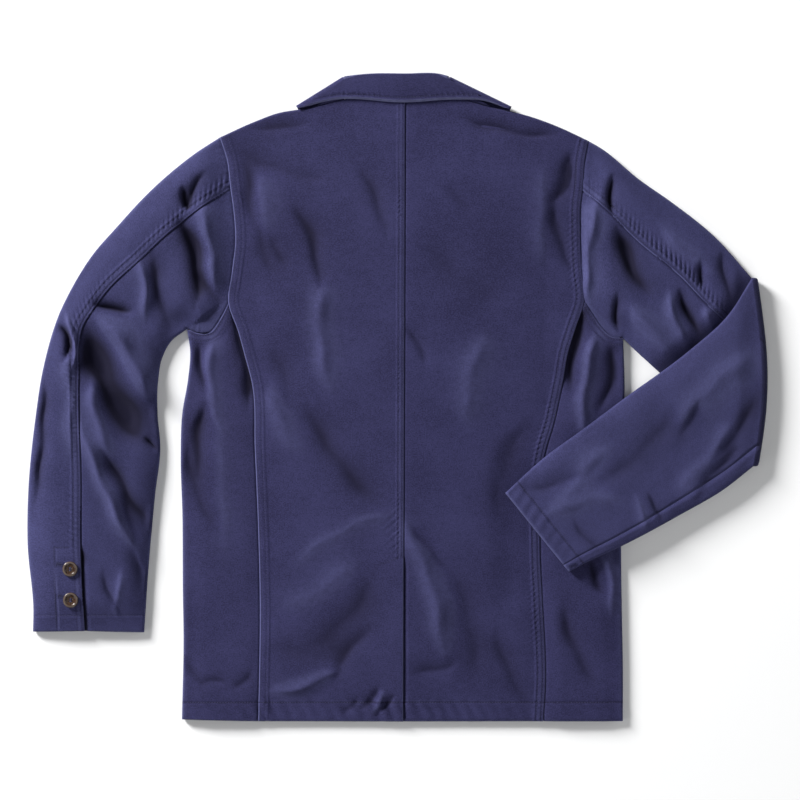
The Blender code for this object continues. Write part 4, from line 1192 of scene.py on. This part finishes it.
def spread(lines, w):
    """Points across a sleeve: on its outer line at w = 0, on its hindarm seam at 1 and on its
    inner line at 2, with straight runs between them."""
    outer, hindarm, inner = [line[:, None] for line in lines]
    share = w[..., None]
    return np.where(share < 1, outer * (1 - share) + hindarm * share,
                    hindarm * (2 - share) + inner * (share - 1))


def sleeve_plan(side, down, w):
    """Plan of a sleeve: rows down from the armhole, whose curve fades out; w is 0 on the outer
    edge, 1 on the hindarm seam and 2 on the inner edge."""
    arm = np.array(ARMHOLE[side], float)
    crotch = CROTCH[side]
    inner = np.where((down < crotch)[:, None],
                     smooth(np.arange(3.0), arm[8:], np.clip(down / crotch, 0, 1) * 2),
                     along(INNER[side], (down - crotch) / (1 - crotch)))
    lines = [along(OUTER[side], down), along(HINDARM[side], down), inner]
    w = np.asarray(w, float) + np.zeros((len(down), 1))
    top = smooth(np.arange(11.0), arm, np.where(w < 1, 2 * w, 2 + 6 * (w - 1)))
    start = spread([line[:1] for line in lines], w)
    fade = np.clip(1 - down / ARM_FADE[side], 0, 1) ** 2
    plan = spread(lines, w) + fade[:, None, None] * (top - start)
    # the first row goes on under the body's folded armhole edge
    if down[0] == 0:
        plan[0] += TUCK * unit(plan[0] - plan[1])
    return plan


def sleeve_edge(side, down, w_edge, w_next):
    """Columns that carry the cloth round a sleeve's edge, from above to below."""
    edge = sleeve_plan(side, down, [w_edge, w_next])
    inward = unit(edge[:, 1] - edge[:, 0])
    return np.stack([edge[:, 0] + inward * EDGE_RADIUS * (1 - np.cos(angle))
                     for angle in EDGE_ANGLES], axis=1)


def sleeve_columns(side, kind):
    """w of the upper and the under columns of the top sleeve or the under sleeve."""
    if kind == "top_sleeve":
        upper = 1 - steps(60.0, 18.0, 0.0, 1.1, 2.6) * 0.91
        under = np.linspace(0.09, FRONT_W, UNDER_COLUMNS_TOP[side])
    else:
        upper = 1 + np.concatenate([[-0.018], steps(92.0, 7.0, 0.0, 1.1, 2.3)]) * 0.96
        under = np.linspace(1.96, FRONT_W, 3)
    return upper, under


def sleeve_half(side, kind, down):
    """Plan and sines of one half of a sleeve's tube, and the cells left out above the crotch,
    where the inner end of each row is the armhole seam."""
    upper, under = sleeve_columns(side, kind)
    edge_w = 0.0 if kind == "top_sleeve" else 2.0
    rounding = sleeve_edge(side, down, edge_w, abs(edge_w - 0.3))
    w = np.tile(upper, (len(down), 1))
    if kind != "top_sleeve":
        above = 1 - eased(down, CROTCH[side] - 0.012, CROTCH[side] + 0.004)
        w = w + above[:, None] * np.maximum(upper - 1, 0) * 0.045
    plan = np.concatenate([sleeve_plan(side, down, w), rounding, sleeve_plan(side, down, under)],
                          axis=1)
    sines = np.concatenate([np.ones(len(upper)), np.sin(EDGE_ANGLES), -np.ones(len(under))])
    left_out = np.zeros((len(down) - 1, plan.shape[1] - 1), bool)
    if kind != "top_sleeve":
        first = len(upper)
        above = down[1:] <= CROTCH[side] + 1e-6
        left_out[:, first:first + len(EDGE_ANGLES) - 1] = above[:, None]
    return plan, np.tile(sines, (len(down), 1)), left_out


def sleeve_wear_and_shade(x, y, side):
    """Rubbed edges of a sleeve: hindarm seam, cuff edge and the outer edge's fold; painted shade
    where the under sleeve goes under the hindarm seam and along the armhole, and painted shade and
    highlight over the creases.
    """
    outer_gap, inner_gap, hind_gap, _, arm_gap, _ = sleeve_seams(x, y, side)
    rows = LEFT_SLEEVE_CREASES if side == "left" else RIGHT_ARM_CREASES
    # painted shade under the hindarm seam's folded edge and along the armhole
    tucked_painted_shade = -0.5 * bell(np.minimum(hind_gap, 0), 1.2) - 0.4 * bell(arm_gap, 1.4)
    seam = np.where(hind_gap >= 0, seam_shade(hind_gap), tucked_painted_shade) * eased(arm_gap, 0, 2)
    # painted shade and highlight over the creases
    return (seam + 0.2 * bell(outer_gap, 3.0) + 0.15 * bell(inner_gap, 2.5)
            + painted_crease_shading(x, y, rows))


left_down = steps(650.0, 14.0, 26.0, 1.3, 1.5)
for kind, flat_size in (("top_sleeve", (0.205, 0.660)), ("under_sleeve", (0.125, 0.610))):
    plan, sines, left_out = sleeve_half("left", kind, left_down)
    x, y = plan[..., 0], plan[..., 1]
    wear_and_shade = sleeve_wear_and_shade(x, y, "left") + 0.4 * bell(y - CUFF_Y, 2.0)
    wear_and_shade -= 0.3 * bell(y - CUFF_Y - SLEEVE_HEM, 0.8)
    hind_gap = sleeve_seams(x, y, "left")[2]
    below = 1 - eased(y, CUFF_VENT_TOP - 8, CUFF_VENT_TOP + 4)
    grid = two_sided(plan, sines, left_sleeve_height(x, y, kind))
    if kind == "under_sleeve":
        # painted shadow in the cuff vent's slit beside the top sleeve's edge
        wear_and_shade -= 1.3 * bell(hind_gap, 3.4 + 2.4 * bell(y - CUFF_VENT_TOP + 12, 8.0)) * below
    else:
        side_row = hind_gap - PLACKET_WIDTH
        box = 0.3 * bell(side_row + 1.8, 1.1) - 0.6 * bell(side_row, 0.9)
        wear_and_shade += below * box - 0.5 * bell(y - CUFF_VENT_TOP, 0.9) * placket_top(hind_gap)
        for _, hole_y in BUTTONHOLES:
            wear_and_shade -= 0.6 * bell(x + 404.5, 3.6) * bell(y - hole_y, 2.2)
        grid, wear_and_shade, left_out = grid[:, ::-1], wear_and_shade[:, ::-1], left_out[:, ::-1]
    piece = cloth_piece(kind + "_left_cloth", grid[::-1], wear_and_shade[::-1], SLEEVE_TWILL, left_out[::-1])
    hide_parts(kind + "_left")


def straight(*corners):
    """Plan points 1 mm apart along straight runs between the given corners."""
    corners = np.array(corners, float)
    return follow(corners, np.arange(0.0, lengths(corners)[-1], 1.0))


top_height = partial(left_sleeve_height, kind="top_sleeve")
under_height = partial(left_sleeve_height, kind="under_sleeve")
holes = [straight((x - 1.6, y - 2.6), (x, y + 3.0)) for x, y in BUTTONHOLES]
holes += [straight((x, y + rise), (x + 7.5, y + rise - 0.6))
          for x, y in BUTTONHOLES for rise in (-1.1, 1.1)]
stitches("buttonholes_left", [on_cloth(row, top_height, THREAD_LIFT + 0.15) for row in holes], 1.2)
hem_y = CUFF_Y + SLEEVE_HEM
placket = [straight((-409.5, -280.5), (-411.5, -180.0), (-395.3, -180.0), (-388.0, -166.2)),
           straight((-434.0, hem_y), (-380.0, hem_y))]
stitches("sleeve_left_stitches",
         seam_rows(HINDARM["left"], "left", top_height, 4.0, 112.0)
         + [on_cloth(row, top_height) for row in placket]
         + [on_cloth(straight((-375.5, hem_y), (-304.5, hem_y)), under_height)])


# ---------------------------------------------------------------------------------------
# Right sleeve. The same two pieces, but the forearm is folded at the elbow, up and over the
# upper arm and the back, so it shows its front side; its cuff buttons are under it.
FOLD_HEIGHT = 7.3
FOREARM_RISE = 2.6
ELBOW_SHARE = 0.36          # of the fold's length, from the outer edge to the hindarm seam
FOLD_LINE = ((425.5, 143), (431.5, 99.5), (436.6, 49.8), (437.4, 19.8), (436.2, -10.2),
             (430.5, -57.7), (426.5, -82))
FOREARM_OUTER = ((425.5, 143), (396, 97.5), (350.3, 56), (273.1, -0.6),
                 (221.8, -39), (176.3, -72.1), (129.5, -114.6))
FOREARM_HINDARM = ((431.5, 62), (300, -60), (166.8, -161))
FOREARM_INNER = ((426.5, -82), (390.7, -110), (339.1, -140), (269.5, -177),
                 (227.3, -196.8), (205.2, -208.4))
RIGHT_CUFF = ((129.5, -114.6), (205.2, -208.4))
RIGHT_ARM_CREASES = (
    (256, 262, 258, 222, 2, 5, 8, -3), (240, 232, 226, 120, 4, 14, 12, 2.8),
    (266, 196, 298, 128, 4, 11, 15, -4.2), (262, 120, 266, 84, 2, 6, 8, -2.4),
    (284, 104, 330, 60, 4, 10, 14, 2.2), (340, 124, 362, 78, 3, 7, 9, -3),
    (326, 120, 344, 66, 2, 9, 9, 2.2), (368, 104, 384, 78, 2, 8, 8, 2),
    (362, 160, 366, 134, 2, 5, 7, -2.2), (390, 170, 400, 120, 3, 8, 10, -1.6),
    (320, 200, 380, 150, 3, 10, 12, 1.2),
)
FOREARM_CREASES = (
    (432, 6, 380, -70, -5, 10, 16, -2), (424, 50, 340, -30, 6, 18, 24, 1.8),
    (366, -2, 340, -50, 3, 10, 16, -1.4), (410, -60, 360, -116, 4, 9, 12, -1.6),
    (396, -36, 340, -104, -5, 12, 15, 1.4), (300, -118, 322, -150, 1, 5, 7, -1.2),
    (286, -120, 300, -158, 1, 7, 7, 0.9), (250, -60, 200, -130, 5, 18, 20, 1.3),
    (330, -20, 250, -100, -6, 18, 22, -1.1), (214, -150, 244, -186, 2, 7, 9, -1),
    (150, -110, 236, -84, 6, 10, 14, -1), (180, -140, 262, -120, -6, 12, 14, 1),
)


def right_arm_height(x, y, kind):
    """Height of the right upper arm's upward cloth; it is pressed flat toward the fold."""
    seams = sleeve_seams(x, y, "right")
    form, armhole = sleeve_form(x, y, seams, 6.4, RIGHT_ARM_CREASES, (10.0, 9.0, 9.0),
                                ((15.0, 3.9), (7.0, 1.9)), 2.7)
    pressed = 1 - eased(-from_line(x, y, FOREARM_OUTER)[0], -6.0, 22.0)
    relief = form * (1 - 0.85 * pressed) - 1.2 * pressed + armhole
    hindarm = hindarm_relief(one_half(seams[2], kind), seams[3], 6.0, seams[4])
    relief += hindarm * (1 - 0.8 * pressed)
    return resting(FULL_HEIGHT + relief, SLEEVE_REST)


def forearm_relief(x, y):
    """Lift of the folded forearm's upper cloth over its level."""
    outer_gap = np.maximum(from_line(x, y, FOREARM_OUTER)[0], 0)
    inner_gap = np.maximum(-from_line(x, y, FOREARM_INNER)[0], 0)
    cuff, cuff_run = from_line(x, y, RIGHT_CUFF)
    cuff = np.maximum(cuff, 0)
    form = 4.4 * fullness(((outer_gap, 24.0), (inner_gap, 22.0)))
    folds = creases(x, y, FOREARM_CREASES) + 0.35 * uneven(x, y, 18.0, 5.5)
    folds += 0.15 * uneven(x, y, 7.5, 6.1)
    relief = form * (0.35 + 0.65 * eased(cuff, 0.0, 60.0))
    relief += folds * eased(outer_gap, 0, 8) * eased(inner_gap, 0, 8)
    ripples = 0.5 * np.exp(-(((cuff - 12.0) / 11.0) ** 4))
    relief += ripples * puckers(cuff_run + 0.35 * cuff, 14.0, 1.1)
    relief += hem_level(cuff) - 0.5 * bell(cuff - SLEEVE_HEM, 0.9)
    return relief - 1.0 * (1 - eased(cuff, 0.0, 2.2))


upper_down = steps(300.0, 12.0, 0.0, 1.3, 1.6)
fore_down = steps(380.0, 0.0, 26.0, 1.4, 2.0)
TURN_ANGLES = np.radians(np.linspace(0, 180, 13))[1:]
for kind, flat_size in (("top_sleeve", (0.205, 0.690)), ("under_sleeve", (0.125, 0.640))):
    plan, sines, left_out = sleeve_half("right", kind, upper_down)
    upper, under = sleeve_columns("right", kind)
    edge_w = np.full(len(EDGE_ANGLES), 0.0 if kind == "top_sleeve" else 2.0)
    across_w = np.concatenate([upper, edge_w, under])
    # the row at the elbow follows the fold's own curve
    fold_share = np.interp(across_w, (0, 1, 2), (0, ELBOW_SHARE, 1))
    bulge = along(FOLD_LINE, fold_share) - sleeve_plan("right", upper_down[-1:], across_w)[0]
    plan += np.clip((upper_down - 0.5) / 0.375, 0, 1)[:, None, None] ** 2 * bulge
    x, y = plan[..., 0], plan[..., 1]
    height = right_arm_height(x, y, kind)
    settle = eased(upper_down, 0.86, 1.0)[:, None]
    arm = two_sided(plan, sines, height * (1 - settle) + FULL_HEIGHT * settle)

    base = arm[-1]
    reach = FOLD_HEIGHT - base[:, 2]
    turned = np.stack([np.stack([base[:, 0] + reach * np.sin(angle), base[:, 1],
                                 FOLD_HEIGHT - reach * np.cos(angle)], axis=1)
                       for angle in TURN_ANGLES])

    lines = [along(line, fore_down) for line in (FOREARM_OUTER, FOREARM_HINDARM, FOREARM_INNER)]
    fore = spread(lines, across_w[None])
    rounding = slice(len(upper), len(upper) + len(EDGE_ANGLES))
    lean = EDGE_RADIUS * (1 - np.cos(EDGE_ANGLES))[None, :, None]
    inward = unit(lines[1] - lines[0 if kind == "top_sleeve" else 2])
    fore[:, rounding] += lean * inward[:, None]
    fore += np.clip(1 - fore_down / 0.34, 0, 1)[:, None, None] ** 2 * (plan[-1] - fore[0])
    # folded over, the cloth that was below is now above
    fore_sines = sines[-1][None]
    relief = forearm_relief(fore[..., 0], fore[..., 1]) * eased(fore_down, 0.0, 0.12)[:, None]
    rise = FOREARM_RISE * eased(fore_down, 0.3, 0.75)[:, None]
    forearm = raised(fore, 2 * FOLD_HEIGHT - MIDDLE - EDGE_RADIUS * fore_sines + rise
                     + np.maximum(-fore_sines, 0) * relief)
    grid = np.concatenate([arm, turned, forearm[1:]])
    left_out = np.pad(left_out, ((0, len(grid) - 1 - len(left_out)), (0, 0)))
    x, y = grid[..., 0], grid[..., 1]
    cuff_gap, _ = from_line(x, y, RIGHT_CUFF)
    fore_rows = np.arange(len(grid)) >= len(arm) + len(turned)
    fore_wear = 0.6 * bell(cuff_gap, 1.8) - 0.6 * bell(cuff_gap - SLEEVE_HEM, 1.0)
    near_fold = np.maximum(-from_line(x, y, FOREARM_OUTER)[0], 0)
    # painted shade and highlight over the forearm's creases, and painted shade on the upper arm
    # beside the forearm's folded edge
    wear_and_shade = np.where(fore_rows[:, None], fore_wear + painted_crease_shading(x, y, FOREARM_CREASES),
                    sleeve_wear_and_shade(x, y, "right") - 0.6 * bell(near_fold, 14.0))
    if kind == "under_sleeve":
        grid, wear_and_shade, left_out = grid[:, ::-1], wear_and_shade[:, ::-1], left_out[:, ::-1]
    piece = cloth_piece(kind + "_right_cloth", grid[::-1], wear_and_shade[::-1], SLEEVE_TWILL, left_out[::-1])
    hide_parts(kind + "_right")


def forearm_height(x, y):
    """Height of the folded forearm's upper cloth near the cuff, where it lies level."""
    return 2 * FOLD_HEIGHT - (MIDDLE - EDGE_RADIUS) + FOREARM_RISE + forearm_relief(x, y)


right_height = partial(right_arm_height, kind="top_sleeve")
stitches("sleeve_right_stitches",
         seam_rows(HINDARM["right"], "right", right_height, 4.0, 60.0)
         + [on_cloth(offset_line(RIGHT_CUFF, SLEEVE_HEM, 6.0, 6.0), forearm_height)])


# ---------------------------------------------------------------------------------------
# Buttons. Turned horn buttons with a raised rim, a dished middle and four holes, sewn on with
# crossed thread: two on each cuff and three that close the front underneath.
CUFF_BUTTON, UNDER_CUFF_BUTTON, FRONT_BUTTON = (9.2, 2.9), (9.2, 2.4), (10.0, 2.4)
BUTTON_SEGMENTS = 48
PROFILE_POINTS, UPPER_RINGS = 46, 22
UNDER_CUFF_Z, FRONT_BUTTON_Z = 10.1, 2.4
THREAD_OUTLINE = 0.30
HOLE_REACH, HOLE_RADIUS = 0.20, 0.085
TUBE_SIDES = 6
BUTTON_PROFILE = ((0.0, 0.55), (0.30, 0.55), (0.50, 0.57), (0.60, 0.66), (0.66, 0.88), (0.72, 0.98),
                  (0.80, 1.0), (0.90, 0.96), (0.97, 0.80), (1.0, 0.55), (0.97, 0.30), (0.85, 0.05),
                  (0.55, 0.0), (0.0, 0.0))


# dark polished horn with paler streaks, and paler where the rim is rubbed
HORN_DARK = (0.020, 0.009, 0.005, 1.0)
HORN_PALE = (0.060, 0.031, 0.018, 1.0)
HORN_RUBBED = (0.105, 0.085, 0.072, 1.0)
HORN, tree, shader, ramp = speckled(
    "polished_horn", {"Scale": 240.0, "Detail": 4.0, "Distortion": 1.5},
    ((0.35, HORN_DARK), (0.68, HORN_PALE)), {"Roughness": 0.26, "Specular IOR Level": 0.4})
rubbed = tree.nodes.new("ShaderNodeAttribute")
rubbed.attribute_name = "wear_and_shade"
mix = tree.nodes.new("ShaderNodeMix")
mix.data_type = "RGBA"
mix.inputs["B"].default_value = HORN_RUBBED
tree.links.new(ramp.outputs["Color"], mix.inputs["A"])
tree.links.new(rubbed.outputs["Fac"], mix.inputs["Factor"])
tree.links.new(mix.outputs["Result"], shader.inputs["Base Color"])


def button(name, node, place, size, face_up):
    """A button whose profile is turned about its axis; four holes dent its dished middle as
    exp(-(r/r0)^4) around each hole's centre."""
    radius, thickness = size
    profile = np.array(BUTTON_PROFILE)
    fine = follow(profile, np.linspace(0, lengths(profile)[-1], PROFILE_POINTS))
    angle = np.linspace(0, 2 * np.pi, BUTTON_SEGMENTS, endpoint=False)
    r = fine[1:-1, 0][:, None]
    x, y = r * np.cos(angle), r * np.sin(angle)
    z = np.repeat(fine[1:-1, 1][:, None], BUTTON_SEGMENTS, axis=1) * thickness
    upper = (np.arange(len(z)) < UPPER_RINGS)[:, None]
    for turn in np.radians([45, 135, 225, 315]):
        hole = np.hypot(x - HOLE_REACH * np.cos(turn), y - HOLE_REACH * np.sin(turn))
        z -= upper * 1.3 * np.exp(-((hole / HOLE_RADIUS) ** 4))
    points = np.stack([x * radius, y * radius, z], axis=-1).reshape(-1, 3)
    points = np.concatenate([points, [[0, 0, fine[0, 1] * thickness], [0, 0, 0]]])
    a, b = tube_points(len(z), BUTTON_SEGMENTS)
    quads = np.stack([a, a + BUTTON_SEGMENTS, b + BUTTON_SEGMENTS, b], axis=-1).reshape(-1, 4)
    first = np.arange(BUTTON_SEGMENTS)
    last = first + (len(z) - 1) * BUTTON_SEGMENTS
    top = np.stack([np.full(BUTTON_SEGMENTS, len(points) - 2), first, np.roll(first, -1)], axis=1)
    low = np.stack([np.full(BUTTON_SEGMENTS, len(points) - 1), np.roll(last, -1), last], axis=1)
    if not face_up:
        points = points * (1, -1, -1)
    rim = np.repeat(bell(fine[1:-1, 0] - 0.84, 0.10) * 0.8, BUTTON_SEGMENTS)
    piece = mesh_object(name, (points + place) * MM,
                        quads.tolist() + top.tolist() + low.tolist(), HORN)
    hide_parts(node)
    dressed(piece, np.append(rim, [0, 0]))


def button_thread(name, place, size):
    """Two pairs of threads that cross the dished middle between the holes."""
    reach = HOLE_REACH * size[0] * 0.72
    across_way = np.linspace(-1.15, 1.15, 9)
    lift = size[1] * 0.60 - 0.9 * across_way**4
    centre = np.concatenate([
        np.stack([across_way * reach, shift * reach + strand + 0 * across_way, lift], axis=1)
        for shift in (-1.0, 1.0) for strand in (-0.45, 0.0, 0.45)]) + place
    count = len(across_way)
    angle = np.radians(np.arange(0, 360, 360 / TUBE_SIDES))
    ring = np.stack([0 * angle, np.cos(angle), np.sin(angle)], axis=1) * THREAD_OUTLINE
    points = (centre[:, None] + ring[None]).reshape(-1, 3)
    a, b = tube_points(count, TUBE_SIDES)
    tube = np.stack([a, b, b + TUBE_SIDES, a + TUBE_SIDES], axis=-1).reshape(-1, 4)
    starts = TUBE_SIDES * count * np.arange(len(centre) // count)
    faces = (tube[None] + starts[:, None, None]).reshape(-1, 4).tolist()
    end = TUBE_SIDES * (count - 1)
    for start in starts.tolist():
        faces.append([start + i for i in range(TUBE_SIDES)][::-1])
        faces.append([start + end + i for i in range(TUBE_SIDES)])
    dressed(mesh_object(name, points * MM, faces, THREAD))


for name, x, y in (("upper", -391.7, -205.4), ("lower", -391.0, -242.6)):
    seat = top_height(np.array([x]), np.array([y]))[0] + CLOTH / 2 + 0.1
    place = np.array([x, y, seat])
    button("button_cuff_left_" + name, "cuff_button_left_" + name, place, CUFF_BUTTON, True)
    button_thread("button_thread_left_" + name, place, CUFF_BUTTON)
for name, x, y in (("upper", 210.0, -111.0), ("lower", 181.5, -134.0)):
    button("button_cuff_right_" + name, "cuff_button_right_" + name, np.array([x, y, UNDER_CUFF_Z]),
           UNDER_CUFF_BUTTON, False)
for name, y in (("top", 46.0), ("middle", -44.0), ("bottom", -134.0)):
    button("button_front_" + name, "front_button_" + name, np.array([CENTRE_X, y, FRONT_BUTTON_Z]),
           FRONT_BUTTON, False)
